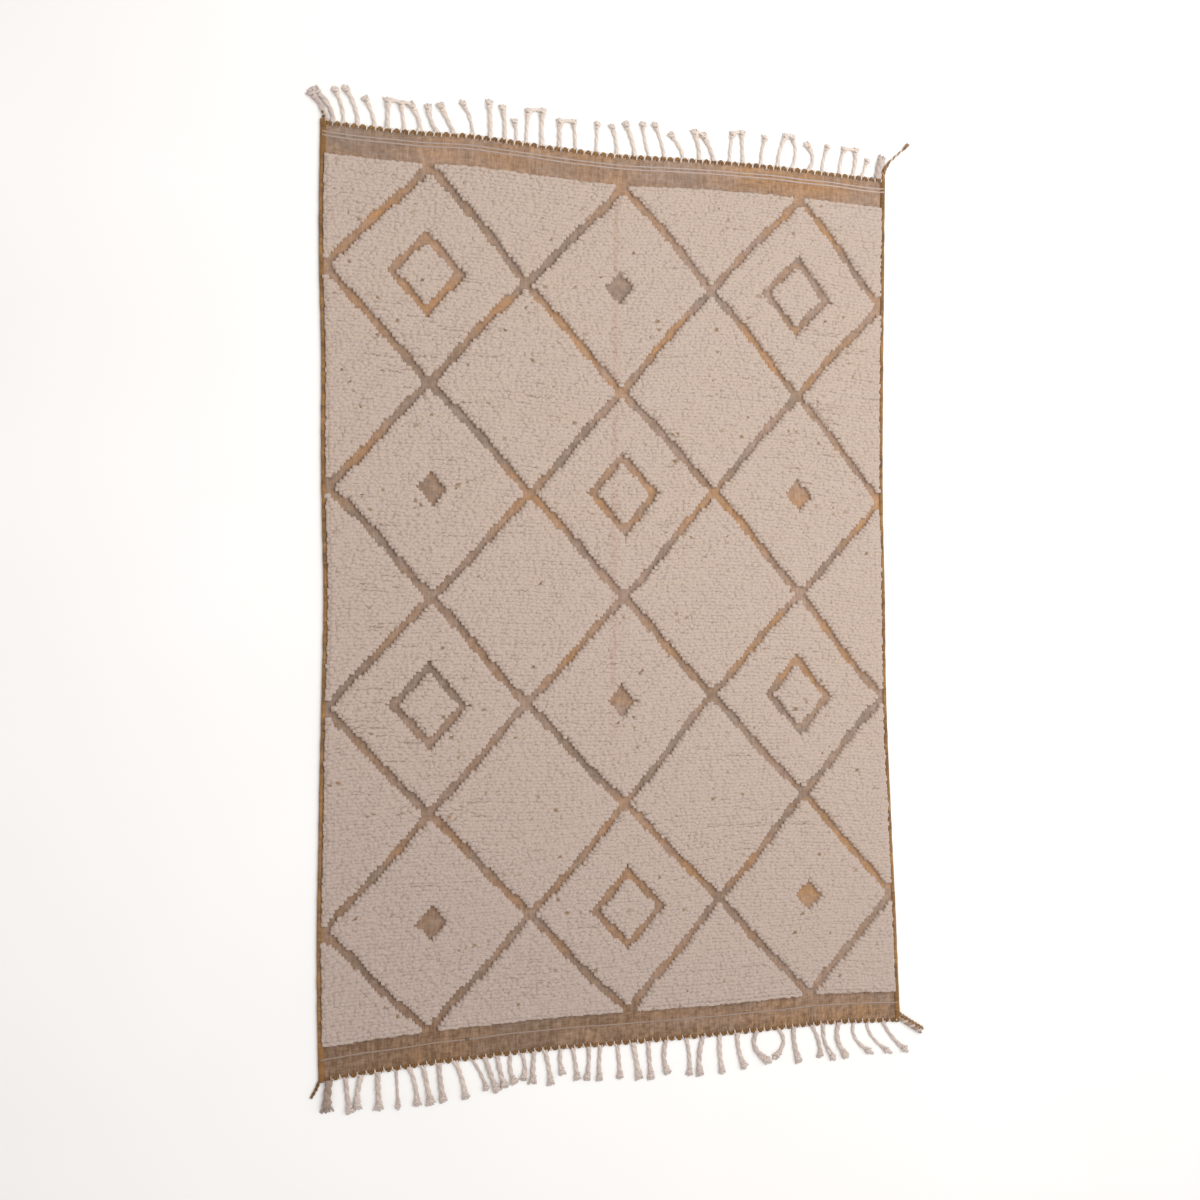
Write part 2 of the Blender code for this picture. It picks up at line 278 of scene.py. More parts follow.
def paint_pile(start):
    place = place_on_rug(start)
    side, ahead, above = (start.node("SeparateXYZ", None, {0: place}, output=axis) for axis in "XYZ")
    # Painted shade: the knots are painted darker from their tips down to their roots, deep in the pile.
    high = between(above, 0.004, 0.0105)
    # Painted shade: towards the bottom left corner the cream turns cooler and darker, as on the rug's
    # shaded side.
    shade_low_left = between(ahead + side * 0.5, 0.6, -1.1)
    off_line = start.maths("ABSOLUTE", side - ahead * PINK_LINE[1] - PINK_LINE[0])
    pink = between(off_line, 0.012, 0.003) * between(ahead, -0.55, -0.2)
    pink = pink * streaks(place, 60.0, 90.0, seed=21.0)
    balls = streaks(place, 2.0, 26.0, seed=3.0)
    clouds = streaks(place, 2.6, 2.2, seed=9.0)
    spun = streaks(place, 130.0, 330.0, detail=3.0)
    tone = value_of(start, "tone")
    fleck = value_of(start, "fleck")
    cream = blend(shade_low_left * shade_low_left, blend(balls * 0.5 + clouds * 0.4, CREAM, CREAM_WARM), CREAM_IN_SHADE)
    cream = blend(streaks(place, 46.0, 70.0, detail=3.0, seed=25.0) * 0.75, cream, CREAM_ROSY)
    cream = blend(tone * 0.4 + balls * 0.2, cream, CREAM_DUSTY)
    cream = blend(pink * 0.8, cream, CREAM_PINK)
    # Painted shade: fine spots of darker cream stand for the shade between the yarns.
    cream = blend(spun * spun * 0.5, cream, CREAM_SHADED)
    cream = blend(high, CREAM_ROOT_IN_SHADE, cream)
    flecks = blend(between(fleck, 0.5, 1.0), TAN_FLECK, DARK_FLECK)
    colour = blend(between(fleck, 0.0, 0.5), cream, flecks)
    fibres = streaks(place, 700.0, 500.0, detail=2.0, seed=5.0)
    return colour, 0.86 + 0.1 * fibres, fibres, 0.0006


PILE_WOOL = wool("pile_wool", paint_pile, 0.25)

# %% [markdown]
# ## The ground's ochre-brown wool
#
# The ground is a weft-faced plain weave, with a warp every 3.75 mm, two for each knot. Its yarn was
# dyed in small lots with onion skin and walnut, so ochre, pinkish brown and grey lie in bands across the
# rug, and fine streaks run along it where the dye took unevenly over the warps. The bare ends are more
# ochre towards their rims, and the channels between the fields less dark. Towards the bottom left corner
# the ground is painted darker, as painted shade on that side of the rug. The ribs are too fine to
# model on so large a cloth, so the weave's relief is a bump of crossed sines.

# %% The ground's finish
TAUPE = dye(187, 165, 154)
OCHRE = dye(209, 156, 102)
ASH = dye(158, 145, 136)
UMBER = dye(116, 90, 68)
WARP_EVERY = 3.75 * MM
WEFT_EVERY = 1.9 * MM


def paint_ground(start):
    place = place_on_rug(start)
    side, ahead = (start.node("SeparateXYZ", None, {0: place}, output=axis) for axis in "XY")
    lots = streaks(place, 2.2, 8.0, seed=2.0)
    bands = streaks(place, 3.0, 46.0, seed=6.0)
    greys = between(streaks(place, 3.2, 7.0, seed=4.0), 0.35, 0.85)
    patches = streaks(place, 17.0, 24.0, detail=3.0, seed=15.0)
    mottle = streaks(place, 62.0, 84.0, detail=3.0, seed=19.0)
    heather = streaks(place, 250.0, 50.0, detail=3.0)
    threads = streaks(place, 40.0, 320.0, detail=2.0, seed=12.0)
    cords = streaks(place, 125.0, 15.0, seed=27.0)
    hairs = streaks(place, 620.0, 90.0, seed=8.0)
    combed = between(ahead, -1.170, -1.192)
    # Painted shade: the ground turns darker towards the bottom left corner, as on the rug's shaded side.
    ground_shade_low_left = between(side + ahead, 0.3, -1.9)
    from_middle = start.maths("ABSOLUTE", ahead)
    in_field = between(from_middle, 1.12, 1.06)
    at_rim = between(from_middle, 1.12, 1.19)
    field_lots = between(streaks(place, 0.8, 5.5, seed=31.0), 0.25, 0.75)
    ochre = (lots + (field_lots - lots) * in_field) * 0.75 + patches * 0.35 + bands * 0.1
    colour = blend(ochre * (0.6 + 0.12 * in_field + 0.35 * at_rim), TAUPE, OCHRE)
    colour = blend(greys * (0.5 + 0.4 * mottle), colour, ASH)
    dark = heather * (0.22 + 0.18 * combed) + cords * 0.24 + threads * 0.18
    dark = dark + mottle * 0.3 + bands * 0.06 + ground_shade_low_left * 0.36
    colour = blend(dark * (1 - 0.24 * in_field), colour, UMBER)
    ribs = start.maths("SINE", side * (math.pi / WARP_EVERY))
    wefts = start.maths("SINE", ahead * (math.pi / WEFT_EVERY))
    weave = ribs * wefts * 0.3 + ribs * ribs * 0.4 + hairs * 0.3
    return colour, 0.84 + 0.12 * heather, weave, 0.0011


GROUND_WOOL = wool("ground_wool", paint_ground, 0.12)

# %% [markdown]
# ## The dark side yarn and the pale warps
#
# The side cords are thick yarn in a dark ochre-brown, the twined edges are a deeper ochre still, and
# the tassels are the cloth's own warps, pale and a little pink. All are spun, so their finish runs
# along the yarn: the mesh keeps a tone for each turn or strand, and the noise adds the unevenness of
# hand spinning. Some side tails are cream yarn twisted with brown, so the side yarn's finish also
# reads how pale the yarn is: 1 is cream, 0 the cords' own colour and -1 the twined edges' ochre. The
# dull cream lines near the ends and their knot are the warps' finish at tones above 1.

# %% The yarns' finishes
SIDE_OCHRE = dye(181, 137, 86)
SIDE_UMBER = dye(104, 78, 54)
TWINED_OCHRE = dye(126, 85, 38)
WARP_CREAM = dye(238, 225, 216)
WARP_SHADE = dye(196, 178, 170)
WARP_STRAW = dye(238, 216, 190)
WEFT_DULL = dye(158, 136, 122)
WEFT_KNOT = dye(112, 96, 84)


def paint_warp(start):
    place = place_on_rug(start)
    tone = value_of(start, "tone")
    spun = streaks(place, 220.0, 130.0, detail=3.0, seed=1.0)
    clouds = streaks(place, 9.0, 9.0, seed=7.0)
    colour = blend(clouds * 0.4, WARP_CREAM, WARP_STRAW)
    colour = blend(tone * 0.5 + spun * 0.3, colour, WARP_SHADE)
    colour = blend(between(tone, 1.5, 2.5), colour, WEFT_DULL)
    colour = blend(between(tone, 2.8, 3.0), colour, WEFT_KNOT)
    fibres = streaks(place, 900.0, 240.0, seed=5.0)
    return colour, 0.84 + 0.12 * spun, fibres, 0.0007


def paint_side(start):
    place = place_on_rug(start)
    tone = value_of(start, "tone")
    pale = value_of(start, "pale")
    spun = streaks(place, 260.0, 200.0, detail=3.0, seed=1.0)
    clouds = streaks(place, 6.0, 26.0, seed=7.0)
    colour = blend(tone * 0.45 + clouds * 0.5 + spun * 0.15, SIDE_OCHRE, SIDE_UMBER)
    colour = blend(between(pale, 0.0, -1.0), colour, TWINED_OCHRE)
    colour = blend(pale, colour, blend(spun * 0.5 + tone * 0.4, WARP_CREAM, WARP_SHADE))
    fibres = streaks(place, 500.0, 500.0, seed=5.0)
    return colour, 0.82 + 0.14 * spun, fibres, 0.0006


WARP_WOOL = wool("warp_wool", paint_warp, 0.25)
SIDE_WOOL = wool("ochre_wool", paint_side, 0.1)

# %% [markdown]
# ## Meshes from arrays
#
# The rug has more than forty thousand knots, and adding them one at a time would take minutes. NumPy
# works out all their points at once, and Blender takes whole arrays with foreach_set. This helper
# makes one piece out of such arrays: its points, its faces, the numbers kept at each point and, where
# the piece brings one, a flat map named OFBake on which its colours can be baked.

# %% Make one piece from arrays
PIECES = {}


def piece(name, points, faces, finish, values=None, flat_map=None):
    """faces and flat_map are lists of arrays with one row a face, each for faces of one size."""
    mesh = bpy.data.meshes.new(name)
    corners = np.concatenate([some.ravel() for some in faces])
    sizes = np.concatenate([np.full(len(some), some.shape[1]) for some in faces])
    mesh.vertices.add(len(points))
    mesh.loops.add(len(corners))
    mesh.polygons.add(len(sizes))
    mesh.vertices.foreach_set("co", ((points - MIDDLE) * MM).ravel())
    mesh.loops.foreach_set("vertex_index", corners)
    mesh.polygons.foreach_set("loop_start", np.cumsum(sizes) - sizes)
    for label, numbers in (values or {}).items():
        mesh.attributes.new(label, "FLOAT", "POINT").data.foreach_set("value", numbers)
    if flat_map is not None:
        spread = np.concatenate([some.reshape(-1, 2) for some in flat_map])
        mesh.uv_layers.new(name="OFBake").data.foreach_set("uv", spread.ravel())
    mesh.update(calc_edges=True)
    mesh.shade_smooth()
    mesh.materials.append(finish)
    made = bpy.data.objects.new(name, mesh)
    bpy.context.scene.collection.objects.link(made)
    PIECES[name] = made
    print(f"{name}: {int((sizes - 2).sum())} triangles")
    return made


# %% [markdown]
# ## Yarns
#
# Everything but the cloth and its pile is yarn: a tube that follows a path. A skein here is a set of
# tubes with the same number of rings and sides, as one array of points. A piece is made of several
# skeins. Each tube gets a strip of its own on the flat map, and a long tube is cut into several
# strips there, so that its colours keep their detail. A strip lies in a cell: the tube's walls fill
# most of it, and the two caps are small rounds beside them.

# %% Tubes of yarn
UP = np.array((0.0, 0.0, 1.0))
STRIP_STEPS = 40
STRIP_LONGER = 1.6
WALLS_FROM = np.array((0.03, 0.06))
WALLS_SPAN = np.array((0.86, 0.88))
CAPS_AT = (0.945, (0.25, 0.75))
CAPS_SIZE = (0.03, 0.2)
FLOOR_GAP = 0.1


def frames(paths):
    """The directions along paths, out to their right, and up."""
    ahead = np.gradient(paths, axis=1)
    ahead /= np.linalg.norm(ahead, axis=-1, keepdims=True)
    out = np.cross(ahead, UP)
    out /= np.linalg.norm(out, axis=-1, keepdims=True)
    return ahead, out, np.cross(out, ahead)


def tubes(paths, thick, sides, flat=1.0):
    """Rings of points round paths (yarns, steps, 3), as thick as given and flat times as high."""
    _, out, up = frames(paths)
    turn = 2 * np.pi * (np.arange(sides) + 0.5) / sides
    ring = out[:, :, None] * np.cos(turn)[:, None] + flat * up[:, :, None] * np.sin(turn)[:, None]
    half = np.broadcast_to(thick, paths.shape[:2]) / 2
    return paths[:, :, None] + half[..., None, None] * ring


def tube_faces(rings, closed):
    """The side faces of tubes, and the two caps of each open one, all facing outward."""
    yarns, steps, sides, _ = rings.shape
    index = np.arange(yarns * steps * sides).reshape(yarns, steps, sides)
    here = index if closed else index[:, :-1]
    there = np.roll(index, -1, axis=1) if closed else index[:, 1:]
    walls = np.stack((here, there, np.roll(there, -1, axis=2), np.roll(here, -1, axis=2)), axis=-1)
    caps = np.concatenate((index[:, 0], index[:, -1, ::-1]))
    first = rings[0].reshape(-1, 3)[walls[0].reshape(-1, 4)]
    first = first - rings[0].mean(axis=(0, 1))
    volume = np.einsum("ij,ij->", np.cross(first[:, 0], first[:, 1]), first[:, 2])
    volume += np.einsum("ij,ij->", np.cross(first[:, 0], first[:, 2]), first[:, 3])
    if volume < 0:
        walls, caps = walls[..., ::-1], caps[:, ::-1]
    return walls, caps[:0] if closed else caps


def strips(walls, caps, low, high):
    """Cells of the flat map between two heights for each tube's walls and caps."""
    yarns, steps, sides, _ = walls.shape
    chunks = math.ceil(steps / STRIP_STEPS)
    count = yarns * chunks
    long = min(steps, STRIP_STEPS)
    columns = max(1, round(math.sqrt(count * sides / long / (high - low) / STRIP_LONGER)))
    rows = math.ceil(count / columns)

    def on_map(cell, u, v):
        """Places in the cells, as places on the whole map."""
        return np.stack((
            (cell % columns + u) / columns,
            low + (cell // columns + v) * (high - low) / rows,
        ), axis=-1)

    step = np.arange(steps)
    cell = np.arange(yarns)[:, None] * chunks + step // STRIP_STEPS
    left = WALLS_FROM[0] + WALLS_SPAN[0] * (step % STRIP_STEPS) / long
    corner = np.array(((0, 0), (1, 0), (1, 1), (0, 1)), dtype=float)
    u = left[None, :, None, None] + WALLS_SPAN[0] / long * corner[:, 0]
    v = WALLS_FROM[1] + WALLS_SPAN[1] * (np.arange(sides)[None, None, :, None] + corner[:, 1]) / sides
    u, v = (np.broadcast_to(part, walls.shape) for part in (u, v))
    if len(caps) and walls[0, 0, 0, 0] > walls[0, 0, 0, 3]:
        u, v = u[..., ::-1], v[..., ::-1]
    laid = on_map(cell[:, :, None, None], u, v)
    turn = 2 * np.pi * np.arange(caps.shape[1]) / caps.shape[1]
    owner = np.tile(np.arange(yarns) * chunks, 2)[: len(caps)]
    lift = np.repeat(CAPS_AT[1], yarns)[: len(caps)]
    u = CAPS_AT[0] + CAPS_SIZE[0] * np.cos(turn)[None] + 0 * owner[:, None]
    v = lift[:, None] + CAPS_SIZE[1] * np.sin(turn)[None]
    return laid.reshape(-1, 4, 2), on_map(owner[:, None], u, v)


def yarn_piece(name, skeins, finish):
    """One piece from skeins, each a dict of rings and of numbers for each tube, step or point."""
    points, faces, flat_map, start, values = [], [], [], 0, {}
    weights = np.array([skein["rings"][..., 0].size for skein in skeins], dtype=float)
    lines = np.concatenate(([0], np.cumsum(weights) / weights.sum())) * 0.998 + 0.001
    labels = [label for label in skeins[0] if label not in ("rings", "closed")]
    for skein, low, high in zip(skeins, lines, lines[1:]):
        rings = skein["rings"]
        walls, caps = tube_faces(rings, skein.get("closed", False))
        laid, ends = strips(walls, caps, low, high)
        faces += [walls.reshape(-1, 4) + start] + ([caps + start] if len(caps) else [])
        flat_map += [laid] + ([ends] if len(caps) else [])
        points.append(np.maximum(rings.reshape(-1, 3), (-np.inf, -np.inf, FLOOR_GAP)))
        for label in labels:
            numbers = np.asarray(skein[label], dtype=float)
            numbers = numbers.reshape(numbers.shape + (1,) * (3 - numbers.ndim))
            values.setdefault(label, []).append(np.broadcast_to(numbers, rings.shape[:3]).ravel())
        start += len(points[-1])
    values = {label: np.concatenate(parts) for label, parts in values.items()}
    return piece(name, np.concatenate(points), faces, finish, values, flat_map)


# %% [markdown]
# ## The woven ground
#
# The ground is one thin sheet, 1.60 by 2.40 m. It could be a plane with a thickness, but a loom-woven
# cloth never lies quite flat: it puckers a little between the pile fields and along its sides. So its
# grid of points, one every 16 mm, is raised by less than a millimetre here and there. It reaches
# under the side cords and the twined ends, as the real warps and wefts do.

# %% Weave the ground
CLOTH_FLAT = (1.60, 2.40)
GROUND_GRID = (100, 150)
RIM_ROUND = 0.9
PUCKER = (0.35, 0.2)
UNDERSIDE = 0.15
UNDERSIDE_PUCKER = 0.12
UNDER_SIDE = 4.0
UNDER_TWINING = 5.0
luck = np.random.default_rng(11)


def waves(x, y, long):
    """Gentle unevenness from crossed waves of about that length, from -1 to 1."""
    turned = 2 * np.pi / long
    over = np.sin(turned * x + 1.3 * np.sin(turned * y * 0.7))
    under = np.sin(turned * y + 1.1 * np.sin(turned * x * 0.6))
    return over * under * 0.6 + 0.4 * np.sin(turned * 2.3 * (0.8 * x - 0.6 * y) + 1.0)


def weave_ground():
    """The ground as one closed sheet: a grid of points above, one below, and walls round the rim."""
    part, along = np.meshgrid(*(np.linspace(0, 1, count + 1) for count in GROUND_GRID))
    x = across(part, (along - 0.5) * CLOTH_FLAT[1] / MM, UNDER_SIDE)
    low = edge(-1, x) + UNDER_TWINING
    y = low + along * (edge(1, x) - UNDER_TWINING - low)
    x = across(part, y, UNDER_SIDE)
    from_side = np.minimum(part, 1 - part) * GROUND_GRID[0]
    from_end = np.minimum(along, 1 - along) * GROUND_GRID[1]
    rounded = RIM_ROUND * (np.minimum(from_side, from_end) < 0.5)
    top = GROUND_HIGH - 0.5 + PUCKER[0] * waves(x, y, 210) + PUCKER[1] * waves(x + 90, y, 60) - rounded
    bottom = UNDERSIDE + UNDERSIDE_PUCKER * waves(x, y, 330) + 0.5 * rounded
    points = np.concatenate([np.stack((x, y, z), axis=-1).reshape(-1, 3) for z in (top, bottom)])
    index = np.arange(x.size).reshape(x.shape)
    upper = np.stack((index[:-1, :-1], index[:-1, 1:], index[1:, 1:], index[1:, :-1]), axis=-1)
    upper = upper.reshape(-1, 4)
    loop = np.concatenate((index[0, :-1], index[:-1, -1], index[-1, :0:-1], index[:0:-1, 0]))
    after = np.roll(loop, -1)
    walls = np.stack((loop, loop + x.size, after + x.size, after), axis=-1)[:, ::-1]
    return piece("ground_weave", points, [upper, upper[:, ::-1] + x.size, walls], GROUND_WOOL)


ground = weave_ground()

# %% [markdown]
# ## Where the pile stands
#
# A weaver counts knots: a pattern is a paper grid with a mark for each knot. This plan is the same. It
# has a knot every 7.5 mm in rows 9 mm apart, and asks for each one whether it lies inside a lozenge. The
# lozenges of the lattice tile the cloth, so the place is turned into the two diagonal directions, where
# each lozenge is a square. The size there is 0 at its middle and 1 all along its rim. Because whole
# knots stand or are left out, the slanted edges come out stepped, as on the real rug. In every second
# column the lozenges hold a smaller ring or a bare eye. The pile stops a little short of the right
# side cord, which leaves a narrow bare strip there.

# %% Plan the knots
KNOT = np.array((7.5, 9.0))
WANDER = (6.0, 7.0, 3.0)
WAVE = (150.0, 190.0, 77.0)
STEADY_RIM = 60.0
BARE_AT_THE_RIGHT = 2.4


def pile_plan(u, v):
    """True where a knot stands, on a straight cloth."""
    inset = CHANNEL * math.hypot(1 / LOZENGE[0], 1 / LOZENGE[1])
    a, b = 2 * u / LOZENGE[0], 2 * v / LOZENGE[1]
    falling, rising = (2 * np.floor((a + sign * b) / 2) + 1 for sign in (1, -1))
    size = np.maximum(np.abs(a + b - falling), np.abs(a - b - rising))
    column = np.round((falling + rising) / 2).astype(int)
    row = np.round((falling - rising) / 2).astype(int)
    ringed = (column % 2 == 0) & ((column + row) % 4 == 1)
    eyed = (column % 2 == 0) & ~ringed
    bare = ringed & (size < RING_SIZE) & (size > RING_SIZE - 2 * inset) | eyed & (size < EYE_SIZE)
    return (size < 1 - inset) & ~bare


def woven(u, v):
    """Moves places on a straight cloth to the real one, whose lines wander and edges wave."""
    free = np.minimum(1, np.minimum(HALF_PILE[0] - np.abs(u), HALF_PILE[1] - np.abs(v)) / STEADY_RIM)
    shift_u = WANDER[0] * np.sin(v / WAVE[0]) + WANDER[2] * np.sin((u + v) / WAVE[2])
    shift_v = WANDER[1] * np.sin(u / WAVE[1]) + WANDER[2] * np.sin((u - v) / WAVE[2])
    u, v = u + free * shift_u, v + free * shift_v
    low = edge(-1, u) + END_BAND
    y = low + (v / HALF_PILE[1] + 1) / 2 * (edge(1, u) - END_BAND - low)
    part = (u / HALF_PILE[0] + 1) / 2
    return across(part, y, SIDE_CORD_WIDE + GAP + PILE_INSET) - BARE_AT_THE_RIGHT * part, y


columns, rows = (np.arange(-limit + step / 2, limit, step) for limit, step in zip(HALF_PILE, KNOT))
knot_u, knot_v = np.meshgrid(columns, rows)
standing = pile_plan(knot_u, knot_v)
print(int(standing.sum()), "knots in", len(rows), "rows")

# %% [markdown]
# ## The knotted pile
#
# Each knot ends in two cut ends of thick yarn that merge into one soft nub. As a particle system or
# Geometry Nodes instances forty thousand nubs would be quick to set up, but such copies can only be
# moved, turned and scaled, and a nub beside a channel has to bend into it. So the nubs are worked out
# as arrays: a wide base under its neighbours, a fuller ring near the top, and a tip. They lean
# towards the bottom end, as pile does towards the side where the weaving began. A knot on the rim of
# a field has nothing beside it, so it leans out and is a little lower. Rows and knots differ in
# height, and short runs of rows gape, many of them in a few thin places, so the pile has the dark
# dashes that the real one shows. A few knots on a rim poke out of it and hold a fleck.

# %% Shape the knots
TIP = 14.0
SHOULDER = 12.9
ROOT = 3.9
PIECES_OF_PILE = 4
GAPING_RUNS = 300
GAPING_KNOTS = (3, 12)
GAPE = (0.5, 1.0)
THIN_PLACES = np.array((
    (-650, -60), (-620, -330), (-480, -560), (640, 700), (560, 480), (-560, 620), (300, -640),
))
THIN_SPREAD = (90.0, 60.0)
ROWS_UNEVEN = 0.15
KNOTS_UNEVEN = 0.21
FLECK_SHARE = 0.008
POKING_SHARE = 0.012
RIM_LOWER = 0.5
RIM_DRAWN_IN = 0.38


def outward_lean(plan):
    """For each knot, how far its bare neighbours pull it across and along."""
    padded = np.pad(plan, 1)
    bare = {
        step: 1.0 - np.roll(padded, (-step[0], -step[1]), (0, 1))[1:-1, 1:-1]
        for step in ((0, 1), (0, -1), (1, 0), (-1, 0))
    }
    return bare[0, 1] - bare[0, -1], bare[1, 0] - bare[-1, 0]


def gaping_rows(shape):
    """Short runs of knots along a row that leave a gap under them, many of them in a few thin places."""
    gapes = np.zeros(shape)
    for number in range(GAPING_RUNS):
        u, v = luck.uniform(-1, 1, 2) * HALF_PILE
        if number % 2:
            u, v = THIN_PLACES[number % len(THIN_PLACES)] + luck.normal(0, 1, 2) * THIN_SPREAD
        row = int((v + HALF_PILE[1]) / KNOT[1])
        column = int((u + HALF_PILE[0]) / KNOT[0])
        gape = luck.uniform(*GAPE)
        after = column + luck.integers(*GAPING_KNOTS)
        gapes[max(row, 0): row + 1, max(column, 0): after] = gape
    return gapes


def knots():
    """Arrays with one row for each standing knot, and the row of knots that it belongs to."""
    shape = knot_u.shape
    lean_u, lean_v = outward_lean(standing)
    on_rim = (lean_u != 0) | (lean_v != 0)
    row_low = luck.normal(0, ROWS_UNEVEN, (shape[0], 1)) + luck.normal(0, KNOTS_UNEVEN, shape)
    gapes = gaping_rows(shape)
    speckled = luck.random(shape) < FLECK_SHARE * (1 + 1.6 * waves(knot_u, knot_v, 420))
    fleck = np.where(speckled, luck.uniform(0.1, 0.5, shape) + 0.4 * (luck.random(shape) < 0.35), 0.0)
    poking = on_rim & (luck.random(shape) < POKING_SHARE)
    fleck = np.where(poking, 0.4, fleck)
    shift = luck.normal(0, 1, shape + (2,)) * (0.9, 0.8)
    shift[..., 1] += 0.8 * waves(knot_u, knot_v * 3, 140)
    middle = np.stack(woven(knot_u, knot_v), axis=-1) + shift
    tip_lean = np.stack((lean_u * 0.4, lean_v * 0.6 - 1.4), axis=-1) + luck.normal(0, 1.3, shape + (2,))
    tip_lean += 1.8 * poking[..., None] * np.stack((lean_u, lean_v), axis=-1)
    high = row_low + 0.45 * waves(knot_u, knot_v, 160) - RIM_LOWER * on_rim
    turn = luck.normal(0, 0.17, shape)
    tone = np.clip(luck.beta(2.0, 2.6, shape) + luck.normal(0, 0.1, (shape[0], 1)), 0, 1)
    drawn_in = 1 - RIM_DRAWN_IN * np.stack((np.abs(lean_u), 0.4 * np.abs(lean_v)), axis=-1)
    arrays = (middle, tip_lean, high, turn, tone, fleck, gapes, drawn_in)
    return [array[standing] for array in arrays] + [np.nonzero(standing)[0]]


middle, tip_lean, high, turn, tone, fleck, gapes, drawn_in, row_of = knots()
print("specks:", int((fleck > 0).sum()), "and gaping knots:", int((gapes > 0).sum()))

# %% [markdown]
# The nub's three levels are joined by eight faces. The flat map gives each knot a square of its own,
# opened like a flower: the tip in the middle, the shoulders round it and the base along the rim. A
# fleck colours the tip and part of the shoulders, as FLECK_REACH says for the nine points.

# %% Knot the pile
CORNERS = np.array(((1, 1), (-1, 1), (-1, -1), (1, -1)), dtype=float)
BASE_HALF = KNOT * (0.92, 0.84)
SHOULDER_HALF = KNOT * (1.06, 0.6)
SHOULDER_LEAN = 0.62
GAPING_SQUEEZE = 0.7
GAPING_SHIFT = 2.0
FLOWER = {"base": 0.46, "shoulder": 0.27}
FLECK_REACH = (0, 0, 0, 0, 0.5, 0.1, 0, 0.2, 1)


def knot_points(some):
    """Nine points for each knot: four at its base, four at its shoulders and its tip."""
    cos, sin = np.cos(turn[some]), np.sin(turn[some])
    spin = np.stack((np.stack((cos, -sin), -1), np.stack((sin, cos), -1)), -2)
    narrow = np.stack((np.ones(len(some)), 1 - GAPING_SQUEEZE * gapes[some]), -1)
    squeeze = (drawn_in[some] * narrow)[:, None]
    swell = luck.normal(1, 0.07, (len(some), 1, 2))
    base = middle[some][:, None] + CORNERS * BASE_HALF * (0.4 + 0.6 * drawn_in[some][:, None])
    ring = np.einsum("nij,kj->nki", spin, CORNERS) * SHOULDER_HALF * swell * squeeze
    aside = np.stack((np.zeros(len(some)), GAPING_SHIFT * gapes[some]), -1)[:, None]
    shoulder = middle[some][:, None] + ring + SHOULDER_LEAN * tip_lean[some][:, None] + aside
    tip = middle[some] + tip_lean[some] + aside[:, 0]
    levels = (
        (base, np.full((len(some), 4), ROOT)),
        (shoulder, SHOULDER + high[some][:, None] + luck.normal(0, 0.25, (len(some), 4))),
        (tip[:, None], TIP + 1.1 * high[some][:, None]),
    )
    return np.concatenate([np.concatenate((flat, z[..., None]), -1) for flat, z in levels], axis=1)


def knot_pile(name, some):
    """One piece of the pile, made of the knots with the given numbers."""
    points = knot_points(some)
    start = 9 * np.arange(len(some))[:, None, None]
    after = np.roll(np.arange(4), -1)
    walls = np.stack((np.arange(4), after, 4 + after, 4 + np.arange(4)), -1)
    tips = np.stack((4 + np.arange(4), 4 + after, np.full(4, 8)), -1)
    side = math.ceil(math.sqrt(len(some)))
    cell = np.stack((np.arange(len(some)) % side, np.arange(len(some)) // side), -1)[:, None] + 0.5
    flower = np.concatenate((CORNERS * FLOWER["base"], CORNERS * FLOWER["shoulder"], ((0, 0),)))
    opened = (cell + flower) / side
    faces = [(walls + start).reshape(-1, 4), (tips + start).reshape(-1, 3)]
    flat_map = [opened[:, walls].reshape(-1, 4, 2), opened[:, tips].reshape(-1, 3, 2)]
    values = {"tone": np.repeat(tone[some], 9), "fleck": np.outer(fleck[some], FLECK_REACH).ravel()}
    return piece(name, points.reshape(-1, 3), faces, PILE_WOOL, values, flat_map)


cuts = np.linspace(0, len(rows), PIECES_OF_PILE + 1)
pile = [
    knot_pile(f"pile_rows_{k + 1}", np.nonzero((row_of >= cuts[k]) & (row_of < cuts[k + 1]))[0])
    for k in range(PIECES_OF_PILE)
]

# %% [markdown]
# ## The overcast sides
#
# Both side edges are wrapped with thick ochre-brown yarn, one turn beside the next, so they look like
# a cord with slanting ridges. Modelling the one long wrapping yarn as a helix would need several
# times the faces. A tube whose radius dips between the turns looks the same, since nothing but the
# turns' outer halves shows. The turn number runs round the cord as well as along it, so the ridges slant.
# Beside the bare ends there is no pile to press on the cords, so there they are wider and deeper in
# colour. What is left of the yarn hangs out at three corners as tails, each of two twisted yarns, and
# at the fourth it is knotted twice round the first tassel. A tail that changes its thickness or its
# colour on the way is made of several ropes, one after the other or side by side.

# %% Wrap the sides
TURN_PITCH = 5.5
STEPS_A_TURN = 4
SIDE_CORD_HIGH = 8.2
WRAPPED_WIDE = 12.0
WIDER_AT_ENDS = 0.3
ENDS_FROM = 1095.0
ENDS_OVER = 20.0
SHIFT_AT_ENDS = 1.8
DEEPER_AT_ENDS = 0.5
LOWEST_YARN = 0.15
OVERCAST_SIDES = 12


